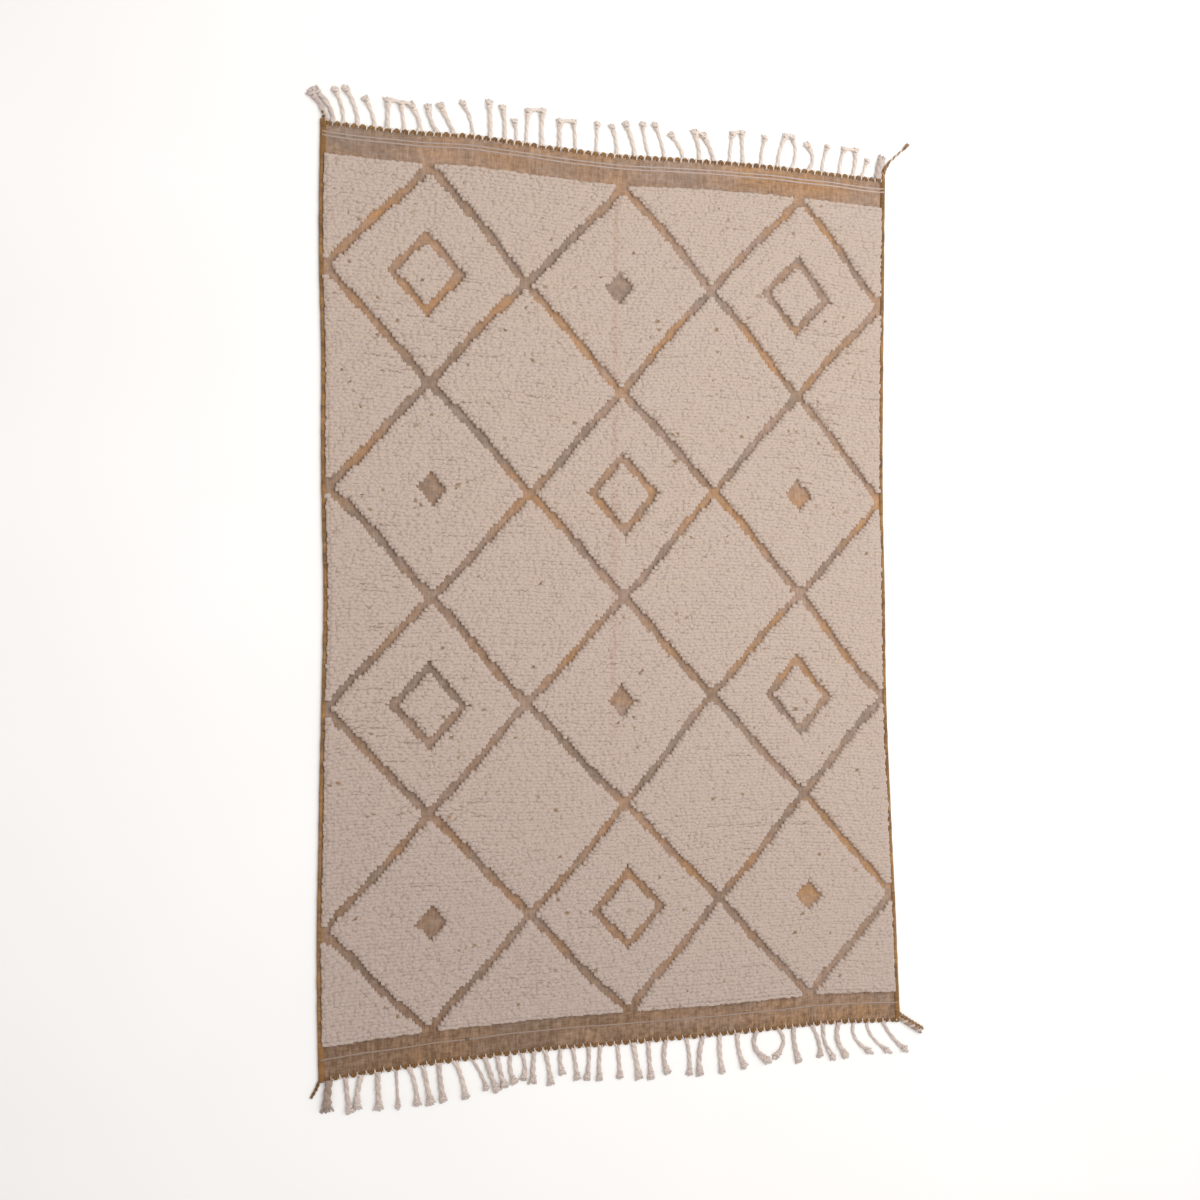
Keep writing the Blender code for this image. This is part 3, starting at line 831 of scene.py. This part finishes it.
def overcast(part, stub):
    """The wrapped cord of the left side (0) or the right (1), which ends stub past the top end."""
    ends = [edge(outward, across(part, outward * HALF_LONG, SIDE_CORD_WIDE / 2)) for outward in (-1, 1)]
    y = np.arange(ends[0], ends[1] + stub, TURN_PITCH / STEPS_A_TURN)
    x = across(part, y, SIDE_CORD_WIDE / 2)
    path = np.stack((x, y, np.full(len(y), SIDE_CORD_HIGH / 2 + 0.1)), -1)[None]
    at_end = np.clip((np.abs(y) - ENDS_FROM) / ENDS_OVER, 0, 1)
    widened = 1 + WIDER_AT_ENDS * at_end
    path[0, :, 0] += 0.5 * waves(x * 0, y, 90) + (1 - 2 * part) * SHIFT_AT_ENDS * at_end
    wide = WRAPPED_WIDE * (1 + 0.06 * waves(x * 0 + 3, y, 130)) * widened
    rings = tubes(path, wide, OVERCAST_SIDES, 0.74)
    around = (np.arange(OVERCAST_SIDES) + 0.5) / OVERCAST_SIDES
    turns = y[:, None] / TURN_PITCH + 0.8 * np.abs(around - 0.5) + luck.normal(0, 0.03, (len(y), 1))
    groove = 0.86 + 0.14 * np.abs(np.sin(np.pi * turns)) ** 0.6
    rings = path[:, :, None] + (rings - path[:, :, None]) * groove[None, ..., None]
    core = path[..., None, 2]
    rings[..., 2] = np.maximum(core + (rings[..., 2] - core) / widened[:, None], LOWEST_YARN)
    number = np.floor(turns - turns.min()).astype(int)
    turn_tone = np.clip(luck.normal(0.5, 0.24, number.max() + 1), 0, 1)
    return {"rings": rings, "tone": turn_tone[number][None], "pale": -DEEPER_AT_ENDS * at_end[None]}


def twisted(points, steps, pitch, pales, tones, sides=8, flat=0.8, start=0.0):
    """Two yarns twisted together along points of (x, y, width), lying on the floor."""
    points = np.array(points, dtype=float)
    far = np.concatenate(([0], np.cumsum(np.linalg.norm(np.diff(points[:, :2], axis=0), axis=1))))
    at = np.linspace(0, far[-1], steps)
    x, y, wide = (np.interp(at, far, points[:, k]) for k in range(3))
    for _ in range(6):
        x[1:-1], y[1:-1], wide[1:-1] = ((v[:-2] + 2 * v[1:-1] + v[2:]) / 4 for v in (x, y, wide))
    path = np.stack((x, y, flat * wide / 2 + 0.2), -1)[None]
    _, out, up = frames(path)
    skeins = []
    for k, (pale, tone_of) in enumerate(zip(pales, tones)):
        spin = start + np.pi * k + 2 * np.pi * at / pitch
        offset = out * np.cos(spin)[:, None] + flat * up * np.sin(spin)[:, None]
        ply = path + offset * (wide / 4)[:, None]
        taper = np.minimum(1, np.minimum(at + 1.5, far[-1] - at + 1.0) / 4.0)
        rings = tubes(ply, wide / 2 * 1.12 * taper, sides, flat)
        skeins.append({"rings": rings, "tone": tone_of, "pale": pale})
    return skeins


CORNER_KNOTS = ((-789.0, 1221.0, 9.0, 0.5), (-788.0, 1209.0, 7.5, 1.2))
CORNER_KNOT_STEPS = (-5.5, -4.0, 0.0, 4.0, 5.5)
CORNER_KNOT_FULL = np.array((0.2, 0.8, 1.0, 0.8, 0.2))
CORNER_KNOT_HIGH = 6.4


def corner_knots():
    """The side yarn's knots on the first tassel of the top end, each by place, width and tone."""
    skeins = []
    for x, y, wide, tone_of in CORNER_KNOTS:
        path = np.array([(x + 0.8 * k, y + 0.4 * k, CORNER_KNOT_HIGH) for k in CORNER_KNOT_STEPS])[None]
        rings = tubes(path, wide * CORNER_KNOT_FULL, 8, 0.8)
        skeins.append({"rings": rings, "tone": tone_of, "pale": -0.5})
    return skeins


TAIL_BOTTOM_LEFT = ((-813, -1196, 9.0), (-820, -1214, 8.5), (-834, -1237, 7.5))
TAIL_TOP_RIGHT = ((796, 1194, 10.0), (797, 1212, 12.0), (801, 1230, 12.5), (819, 1255, 8.5))
TAIL_TOP_THIN = ((815, 1251, 7.5), (840, 1274, 7.0), (863, 1294, 6.5), (868, 1299, 6.5))
TAIL_TOP_TIP = ((866, 1297, 8.5), (873, 1304, 11.0), (880, 1311, 10.5), (884, 1315, 9.0))
TAIL_BOTTOM_BROWN = ((811, -1190, 11.0), (836, -1208, 11.5), (866, -1228, 11.5), (897, -1247, 11.0))
TAIL_BOTTOM_CREAM = ((812, -1204, 9.0), (831, -1216, 13.0), (859, -1234, 14.5), (891, -1254, 15.5))

overcast_left = yarn_piece("overcast_left", [
    overcast(0, 2.0), *corner_knots(),
    *twisted(TAIL_BOTTOM_LEFT, 30, 22.0, (0.0, 0.0), (0.7, 0.95)),
], SIDE_WOOL)
overcast_right = yarn_piece("overcast_right", [
    overcast(1, 4.0),
    *twisted(TAIL_TOP_RIGHT, 34, 26.0, (0.0, 0.15), (0.35, 0.2)),
    *twisted(TAIL_TOP_THIN, 60, 21.0, (0.0, 1.0), (0.45, 0.6), sides=7),
    *twisted(TAIL_TOP_TIP, 16, 40.0, (0.0, 0.3), (0.5, 0.6), sides=7),
    *twisted(TAIL_BOTTOM_BROWN, 56, 24.0, (-0.4, 0.1), (0.3, 0.7)),
    *twisted(TAIL_BOTTOM_CREAM, 56, 27.0, (0.7, 0.3), (0.8, 0.9), start=1.2),
], SIDE_WOOL)

# %% [markdown]
# ## The twined ends
#
# Before the rug came off the loom, a pair of brown yarns was twined along each end. They cross
# between the warp bundles and bulge over them, which leaves a row of rounded lobes, one every
# 21 mm. Each lobe here is two nested loops of yarn whose legs dive back into the cloth. LOBE_LOOPS
# gives half the width, the depth, the thickness and the height of each loop. The pale warp bundles
# come up out of the cloth in the gaps, thin at first and thicker at the rim. They are the same yarn
# as the tassels, so they are made as part of those.

# %% Twine the ends
LOBE_LOOPS = ((4.7, 9.2, 6.6, 6.8), (1.5, 5.0, 5.4, 7.3))
LOBE_TONES = {1: (0.7, 0.15), -1: (0.85, 0.8)}
LOBE_STEPS = 14
LOBE_DEEPER = {1: -0.3, -1: -0.8}
BUNDLE_WIDTHS = (2.4, 5.8)


def lobe_lines(outward):
    """The places across one end where two lobes meet."""
    x = across(np.array((0.0, 1.0)), outward * END_LINE, SIDE_CORD_WIDE + GAP)
    return np.linspace(x[0], x[1], SCALLOPS + 1)


def twining(outward):
    """The lobes' two loops of yarn, and one stitch beside each lobe that runs into the cloth."""
    lines = lobe_lines(outward)
    centre = (lines[1:] + lines[:-1]) / 2
    bend = np.linspace(0, np.pi, LOBE_STEPS)
    skeins = []
    for (half, deep, thick, top), lot in zip(LOBE_LOOPS, LOBE_TONES[outward]):
        wide = half * luck.normal(1, 0.05, (SCALLOPS, 1))
        reach = deep * luck.normal(1, 0.05, (SCALLOPS, 1))
        x = centre[:, None] + wide * np.cos(bend)
        y = edge(outward, centre)[:, None] - outward * (deep + 2.4 - reach * np.sin(bend) ** 0.7)
        z = top - thick * 0.4 - 2.6 * (1 - np.sin(bend)) ** 2 - 1.2 * np.sin(bend) ** 4
        path = np.stack((x, y, np.broadcast_to(z, x.shape)), -1)
        swell = thick * (0.9 + 0.12 * np.sin(bend)) * luck.normal(1, 0.04, (SCALLOPS, 1))
        rings = tubes(path, swell, 6, 0.9)
        lot_tone = np.clip(luck.normal(lot, 0.2, SCALLOPS), 0, 1.3)
        skeins.append({"rings": rings, "tone": lot_tone, "pale": LOBE_DEEPER[outward]})
    far = np.linspace(-15.0, -3.0, 7) * luck.uniform(0.8, 1.1, (SCALLOPS, 1))
    x = centre[:, None] + 4.6 + 0.2 * far
    path = np.stack((x, edge(outward, x) + outward * far, 4.3 + 0.12 * (far + 15.0) + 0 * x), -1)
    rings = tubes(path, np.linspace(2.0, 4.2, 7), 6, 0.8)
    skeins.append({"rings": rings, "tone": luck.uniform(0.7, 1.0, SCALLOPS), "pale": 0.0})
    return skeins


def warp_bundles(outward):
    """Pale warps that rise out of the cloth between the lobes."""
    lines = lobe_lines(outward)
    far = np.linspace(-14.0, -2.6, 8)
    deep = far * luck.uniform(0.75, 1.05, (len(lines), 1))
    x = lines[:, None] + luck.normal(0, 0.5, (len(lines), 1)) + 0.2 * far
    y = edge(outward, x) + outward * deep
    z = 4.9 + 2.0 * np.sin(np.linspace(0.1, 0.95, 8) * np.pi) + 0 * x
    path = np.stack((x, y, z), -1)
    thick = np.linspace(*BUNDLE_WIDTHS, 8) * luck.uniform(0.85, 1.1, (len(lines), 1))
    return {"rings": tubes(path, thick, 6, 0.7), "tone": luck.uniform(0.2, 0.7, len(lines))}


twined = {
    outward: yarn_piece(f"twining_{name}", twining(outward), SIDE_WOOL)
    for name, outward in (("top", 1), ("bottom", -1))
}

# %% [markdown]
# ## The tassels
#
# At each end thirty-seven pairs of warp bundles are twisted together, knotted and cut. No two are
# alike, so a table says for each one where its root is, how far its knee and its knot are pushed
# aside, and how far the knot reaches. Each of the two strands starts at its own gap in the twining,
# runs to the root and then winds round its partner. The knot is two slanting rings of the same yarn.
# Past it a thick core goes on and tapers, and the cut ends fray round it into loose strands. A few
# tassels are wider or thinner than the rest, and some at the corners are greyer. At the top, cut ends
# of some neighbours are tied together, so that the two tassels make an arch.

# %% The tables of tassels
TOP_TASSELS = np.array([
    (-781, -11, -33, 60), (-765, -8, -36, 66), (-738, -4, -18, 74), (-702, -7, -26, 80),
    (-660, -6, -20, 61), (-628, 1, 2, 63), (-584, -4, -9, 61), (-545, -3, -18, 57),
    (-502, -14, -20, 54), (-457, -15, -30, 60), (-407, -5, -22, 73), (-360, 0, -2, 82),
    (-321, 0, -4, 74), (-290, 0, -3, 44), (-263, 2, 6, 76), (-220, -1, 2, 81),
    (-172, 0, 2, 61), (-128, -1, -4, 65), (-70, 2, 4, 68), (-12, -2, -10, 66),
    (40, -8, -22, 75), (80, -10, -16, 78), (125, -9, -24, 78), (180, -10, -30, 54),
    (228, -3, -12, 66), (270, -10, -26, 58), (318, 3, 9, 71), (358, -1, -2, 75),
    (413, 3, 12, 69), (465, 6, 22, 79), (508, 12, 4, 80), (560, 14, 0, 64),
    (603, 5, 16, 65), (657, 5, 15, 64), (700, 8, 10, 64), (730, 8, 16, 41),
    (780, 3, 10, 47),
], dtype=float)
BOTTOM_TASSELS = np.array([
    (-789, -4, -6, 56), (-748, 3, 8, 74), (-710, -8, -10, 66), (-668, 0, 2, 76),
    (-622, 2, 4, 84), (-588, 13, 18, 82), (-553, 8, 16, 84), (-513, 3, 9, 82),
    (-470, 15, 24, 82), (-426, 20, 34, 70), (-392, 12, 26, 76), (-360, 6, 15, 68),
    (-325, -2, 6, 62), (-294, 6, 5, 56), (-262, -3, -4, 66), (-232, 8, 14, 76),
    (-190, -2, 2, 54), (-156, 5, 10, 70), (-113, 0, -4, 72), (-80, -4, -4, 76),
    (-33, 4, 6, 76), (12, 7, 14, 80), (55, 2, 6, 84), (105, -6, 0, 74),
    (165, 7, 8, 84), (212, -10, -10, 86), (262, 0, 5, 88), (315, 3, 16, 82),
    (372, -6, 24, 74), (440, 14, -4, 66), (485, 2, 12, 82), (543, 17, 24, 76),
    (578, 3, 24, 86), (625, -4, 16, 82), (673, 3, 40, 78), (715, 16, 58, 80),
    (768, 24, 62, 78),
], dtype=float)
print(len(TOP_TASSELS), "tassels at the top and", len(BOTTOM_TASSELS), "at the bottom")

# %% Twist, knot and fray the tassels
TASSEL_WIDE = {1: 10.6, -1: 12.0}
ODD_WIDTHS = {
    1: {0: 1.15, 1: 1.1, 13: 0.8, 35: 0.8, 36: 2.0},
    -1: {0: 1.45, 4: 0.62, 9: 0.8, 34: 0.85, 35: 0.8, 36: 0.75},
}
FLARE = 0.3
CORNER_DARKER = {1: ((0, 1.1), (1, 0.9), (36, 1.3)), -1: ((0, 1.2),)}
TASSEL_STEPS = 28
TWIST_PITCH = 44.0
KNOT_RINGS = ((-3.2, 2.6, 0.92), (3.0, -2.8, 1.0))
FRAYS = 11
FRAY_FAN = 0.42
FRAY_LONG = (13.0, 18.0)
CORE_WIDTHS = np.array((9.0, 11.0, 12.5, 13.5, 13.5, 12.0, 7.5))
USUAL_WIDE = 12.0


def tassel_line(table, outward, t):
    """Places and directions of the tassels' middle lines, t from 0 at the rim to 1 at the knot."""
    root, knee, shift, reach = (table[:, k, None] for k in range(4))
    curve, slope = 2 * shift - 4 * knee, 4 * knee - shift
    x = root + slope * t + curve * t * t
    y = edge(outward, root) + outward * reach * t
    return x, y, slope + 2 * curve * t, outward * reach + 0 * t


def tassel_widths(table, outward):
    """The width of each tassel: a few are odd, and the rest differ a little."""
    wide = TASSEL_WIDE[outward] * (1 + 0.13 * np.sin(table[:, 0] * 7.1 + table[:, 3]))
    for number, times in ODD_WIDTHS[outward].items():
        wide[number] *= times
    return wide


def strands(table, outward):
    """The two twisted strands of each tassel, from their gaps in the twining to the knot."""
    t = np.linspace(-0.06, 1.0, TASSEL_STEPS)[None]
    x, y, _, _ = tassel_line(table, outward, t)
    lines = lobe_lines(outward)
    spot = np.clip(np.searchsorted(lines, table[:, 0]), 1, len(lines) - 1)
    joined = np.clip((t + 0.03) / 0.1, 0, 1)
    joined = joined * joined * (3 - 2 * joined)
    wide = tassel_widths(table, outward)[:, None] * (1 + 0.06 * np.sin(9 * t + table[:, :1]))
    wide = wide * (1 + FLARE * np.clip((t - 0.6) / 0.4, 0, 1) ** 2)
    begin = luck.uniform(0, 2 * np.pi, (len(table), 1))
    skeins = []
    for k, gap in enumerate((spot - 1, spot)):
        apart = np.clip(lines[gap] - table[:, 0], -3.6, 3.6)[:, None]
        spin = begin + np.pi * k + 2 * np.pi * table[:, 3:4] * t / TWIST_PITCH
        centre = np.stack((x, y, 0.36 * wide + 0.8 * (1 - joined)), -1)
        _, out, up = frames(centre)
        side = joined * wide * 0.17 * np.cos(spin)
        lift = joined * wide * 0.12 * np.sin(spin)
        ply = centre + out * side[..., None] + up * lift[..., None]
        ply[..., 0] += (1 - joined) * apart
        thick = wide * 0.72 * (0.8 + 0.2 * joined)
        rings = tubes(ply, thick, 8, 0.78)
        skeins.append({"rings": rings, "tone": luck.uniform(0.0, 0.8, len(table))})
    return skeins


def knot_rings(table, outward):
    """Two slanting rings of yarn round the end of each tassel."""
    x, y, aim_x, aim_y = tassel_line(table, outward, np.ones((1, 1)))
    aim = np.stack((aim_x, aim_y), -1)[:, 0]
    aim = aim / np.linalg.norm(aim, axis=1, keepdims=True)
    aside = np.stack((aim[:, 1], -aim[:, 0]), -1)
    around = 2 * np.pi * np.arange(14) / 14
    round_it = 2 * np.pi * np.arange(7) / 7
    skeins = []
    for along, slant, size in KNOT_RINGS:
        size = size * luck.normal(1, 0.06, len(table)) * (tassel_widths(table, outward) / USUAL_WIDE) ** 0.6
        far = 6.0 * size
        middle_xy = np.stack((x[:, 0], y[:, 0]), -1) + along * aim
        radial = np.cos(around)[None, :, None] * aside[:, None]
        line = middle_xy[:, None] + far[:, None, None] * radial
        line += slant * np.cos(around)[None, :, None] * aim[:, None]
        line += (1.5 * np.sin(2 * around + 0.7))[None, :, None] * aim[:, None]
        line_z = 7.1 + 3.3 * size[:, None] * np.sin(around)
        path = np.concatenate((line, line_z[..., None]), -1)
        to_side_z = np.broadcast_to(0.8 * np.sin(around), line.shape[:2])
        to_side = np.concatenate((radial, to_side_z[..., None]), -1)
        to_side /= np.linalg.norm(to_side, axis=-1, keepdims=True)
        along_it = np.concatenate((aim, np.zeros((len(aim), 1))), -1)[:, None, None]
        thick = 3.4 * size[:, None, None, None]
        ring = to_side[:, :, None] * np.cos(round_it)[:, None] + along_it * np.sin(round_it)[:, None]
        rings = path[:, :, None] + thick * ring
        skeins.append({"rings": rings, "tone": luck.uniform(0.0, 0.6, len(table)), "closed": True})
    return skeins


def end_cores(table, outward):
    """The thick of each tassel's end, which runs on through the knot and tapers."""
    t = np.linspace(0.9, 1.19, 7)[None]
    x, y, _, _ = tassel_line(table, outward, t)
    z = np.broadcast_to(np.linspace(5.2, 2.6, 7), x.shape)
    size = (tassel_widths(table, outward) / USUAL_WIDE)[:, None] ** 0.7
    rings = tubes(np.stack((x, y, z), -1), CORE_WIDTHS * size, 8, 0.62)
    return {"rings": rings, "tone": luck.uniform(0.1, 0.6, len(table))}


def frayed_ends(table, outward):
    """Loose strands that fan out past each knot and sink to the floor."""
    x, y, aim_x, aim_y = tassel_line(table, outward, np.ones((1, 1)))
    count = len(table) * FRAYS
    heading = np.repeat(np.arctan2(aim_y, aim_x)[:, 0], FRAYS)
    size = np.repeat((tassel_widths(table, outward) / USUAL_WIDE) ** 0.7, FRAYS)
    spread = np.tile(np.linspace(-FRAY_FAN, FRAY_FAN, FRAYS), len(table)) + luck.normal(0, 0.1, count)
    start = np.repeat(np.stack((x[:, 0], y[:, 0]), -1), FRAYS, axis=0)
    begin_aside = np.tile(np.linspace(-4.4, 4.4, FRAYS), len(table)) * size
    aim = np.stack((np.cos(heading + spread), np.sin(heading + spread)), -1)
    aside = np.stack((np.sin(heading), -np.cos(heading)), -1) * -begin_aside[:, None]
    far = np.linspace(0.15, 1.0, 6)
    long = luck.uniform(*FRAY_LONG, count) * size
    line = start[:, None] + aside[:, None] + aim[:, None] * (far[None, :, None] * long[:, None, None])
    line += luck.normal(0, 0.35, line.shape)
    begin_z = np.tile(7.0 + 3.0 * np.cos(np.arange(FRAYS) * 2.1), len(table))
    z = begin_z[:, None] * (1 - far) ** 0.8 + 1.1
    path = np.concatenate((line, z[..., None]), -1)
    return {"rings": tubes(path, np.linspace(5.2, 3.0, 6), 5, 0.8), "tone": luck.uniform(0.0, 0.5, count)}


top_widths = tassel_widths(TOP_TASSELS, 1)
print("top tassels, mm wide:", round(float(top_widths.min()), 1), "to", round(float(top_widths.max()), 1))

# %% Tie some neighbours together
TIED_TIPS = ((5, 6), (6, 7), (14, 15), (16, 17), (24, 25), (26, 27), (29, 30), (33, 34))
TIE_FROM = 1.06
TIE_HIGH = 5.4
TIE_TONE = -0.1
TIE_WIDE = np.array((6.0, 8.0, 8.5, 8.0, 7.5, 8.0, 8.5, 8.0, 6.0))
TIE_BOW = 5.0


def tied_tips():
    """Cut ends of the top tassels that are tied to a neighbour's, in a flat arch."""
    x, y, _, _ = tassel_line(TOP_TASSELS, 1, np.full((1, 1), TIE_FROM))
    tips = np.concatenate((x, y, np.full_like(x, TIE_HIGH)), -1)
    left, right = (tips[[pair[side] for pair in TIED_TIPS], None] for side in (0, 1))
    part = np.linspace(0, 1, len(TIE_WIDE))[:, None]
    arch = left * (1 - part) + right * part
    arch[..., 1] += TIE_BOW * np.sin(np.pi * part[:, 0])
    return {"rings": tubes(arch, TIE_WIDE, 8, 0.8), "tone": np.full(len(TIED_TIPS), TIE_TONE)}


print(len(TIED_TIPS), "pairs of neighbours are tied at the top")

# %% Put the tassels together
# Painted light and shade: the top end's tassels are painted lighter and the bottom end's darker, as the
# light falls across the rug.
END_LIGHT_AND_SHADE_TONES = {1: -0.3, -1: 0.7}
for name, outward, table in (("top", 1, TOP_TASSELS), ("bottom", -1, BOTTOM_TASSELS)):
    skeins = [*strands(table, outward), *knot_rings(table, outward), end_cores(table, outward)]
    skeins += [frayed_ends(table, outward), warp_bundles(outward)]
    for skein in skeins:
        skein["tone"] = skein["tone"] + END_LIGHT_AND_SHADE_TONES[outward]
        share = len(skein["tone"]) // len(table)
        for number, darker in CORNER_DARKER[outward]:
            skein["tone"][number * share:(number + 1) * share] += darker
    if outward > 0:
        skeins.append(tied_tips())
    yarn_piece(f"tassels_{name}", skeins, WARP_WOOL)

# %% [markdown]
# ## The cream weft lines
#
# Near each end a few wefts of cream wool were woven in, two lines at the top and one at the bottom.
# They pass over one warp and under the next, so from above a line is a row of small dashes. Each
# line is a flat tube with a step at every warp, whose height goes up and down by a millimetre. At the
# sides it climbs onto the cords. In the bottom line a small dark knot shows where the yarn was joined.

# %% Weave in the cream lines
CREAM_LINES = ((1, 30.5), (1, 40.0), (-1, 56.0))
LINE_STEPS = 429
LINE_DULL = {1: 1.6, -1: 2.3}
OVER_CORD = 3.4
WEFT_KNOT_AT = -440.0
WEFT_KNOT_STEPS = (-6.0, -4.0, 0.0, 4.0, 6.0)
WEFT_KNOT_WIDE = np.array((1.5, 6.0, 8.5, 6.0, 1.5))


def cream_line(outward, inside):
    """One dashed line, that many millimetres inside the end, which rises over the side cords."""
    part = np.linspace(0.003, 0.997, LINE_STEPS)
    x = across(part, outward * (END_LINE - inside), 0.0)
    y = edge(outward, x) - outward * (inside + 1.2 * waves(x, x * 0, 330))
    near_side = np.minimum(part, 1 - part) * CLOTH_WIDE
    lift = OVER_CORD * np.clip((16 - near_side) / 6, 0, 1)
    dash = np.cos(np.pi * np.arange(LINE_STEPS))
    z = 4.7 + 0.45 * dash + lift
    path = np.stack((x, y, z), -1)[None]
    thick = 4.3 + 0.5 * dash + 0.3 * waves(x, x * 0, 70)
    _, out, up = frames(np.stack((x, y, 0 * x), -1)[None])
    turn = 2 * np.pi * (np.arange(6) + 0.5) / 6
    ring = out[:, :, None] * np.cos(turn)[:, None] + 0.4 * up[:, :, None] * np.sin(turn)[:, None]
    dull = LINE_DULL[outward] + 0.45 * (1 - part) + 0.1 * waves(x, x * 0, 45)
    return {"rings": path[:, :, None] + thick[None, :, None, None] / 2 * ring, "tone": dull[None]}


def weft_knot(x, inside):
    """A small dark knot where a cream yarn was joined at the bottom end."""
    y = edge(-1, x) + inside
    path = np.array([(x + k, y + 0.15 * k, 5.0) for k in WEFT_KNOT_STEPS])[None]
    return {"rings": tubes(path, WEFT_KNOT_WIDE, 8, 0.6), "tone": 3.0}


cream_lines = yarn_piece("cream_weft_lines", [
    *[cream_line(*line) for line in CREAM_LINES], weft_knot(WEFT_KNOT_AT, CREAM_LINES[-1][1]),
], WARP_WOOL)

# %% [markdown]
# ## Which piece stands for what
#
# The solids are plain, so they are hidden and the dressed pieces take their place: the ground and its
# pile that of the cloth, the wrapped cords that of the side cords, and the twining with its tassels
# that of the fringes. The ground is a sheet of cloth, 1.60 by 2.40 m, that lies on the floor, with every
# other piece on it. Nothing moves, so all of them ride on the one body.

# %% Ride, and hide the solids
for thing in PIECES.values():
    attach(thing, "root")
for thing in (ground, *pile):
    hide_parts("rug_cloth")
for thing, node in ((overcast_left, "selvedge_left"), (overcast_right, "selvedge_right")):
    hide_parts(node)
for outward, node in ((1, "fringe_top"), (-1, "fringe_bottom")):
    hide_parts(node)
    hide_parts(node)
print(len(PIECES), "pieces ride on the rug's one body")

# %% [markdown]
# ## The floor and the light
#
# The photograph was taken in soft light that comes mostly from the rug's right, a little beyond its
# middle, so that side is brighter and the walls of the pile that face left are dark. One large soft
# lamp stands there, and the pale surroundings fill the rest. A smaller lamp would draw hard shadows,
# and the surroundings alone would leave the pile flat. The floor is plain and nearly white, with only
# the faintest unevenness in its tone.

# %% Light the rug
FLOOR_HALF = 6.0
LAMP_PLACE = (1.6, 0.9, 3.3)
LAMP_AIM = (0.2, 0.3, 0.0)
LAMP_SIZE = 4.6
LAMP_WATTS = 111.0
LAMP_COLOUR = (0.99, 1.0, 0.985)
ROOM_COLOUR = (1.0, 0.975, 0.965, 1.0)
ROOM_STRENGTH = 0.7


def paint_floor(start):
    place = place_on_rug(start)
    clouds = streaks(place, 1.2, 1.2, seed=2.0)
    return blend(clouds, dye(247, 246, 244), dye(250, 249, 248)), 0.7 + 0.1 * clouds, clouds, 0.0001


floor_mesh = bpy.data.meshes.new("floor")
floor_mesh.from_pydata(
    [(x * FLOOR_HALF, y * FLOOR_HALF, 0.0) for x, y in ((-1, -1), (1, -1), (1, 1), (-1, 1))],
    [], [(0, 1, 2, 3)],
)
floor_mesh.materials.append(wool("pale_floor", paint_floor, 0.0))
floor = bpy.data.objects.new("floor", floor_mesh)
bpy.context.scene.collection.objects.link(floor)


def soft_lamp(name, place, aim, size, watts, colour):
    lamp = bpy.data.lights.new(name, "AREA")
    lamp.shape = "DISK"
    lamp.size = size
    lamp.energy = watts
    lamp.color = colour
    made = bpy.data.objects.new(name, lamp)
    made.location = place
    made.rotation_euler = (Vector(aim) - Vector(place)).to_track_quat("-Z", "Y").to_euler()
    bpy.context.scene.collection.objects.link(made)


soft_lamp("lamp_at_the_right", LAMP_PLACE, LAMP_AIM, LAMP_SIZE, LAMP_WATTS, LAMP_COLOUR)
surroundings = bpy.data.worlds.new("surroundings")
surroundings.use_nodes = True
glow = surroundings.node_tree.nodes["Background"]
glow.inputs["Color"].default_value = ROOM_COLOUR
glow.inputs["Strength"].default_value = ROOM_STRENGTH
bpy.context.scene.world = surroundings
bpy.context.scene.view_settings.view_transform = "Standard"
print("the lamp hangs", LAMP_PLACE[2], "m above the floor")
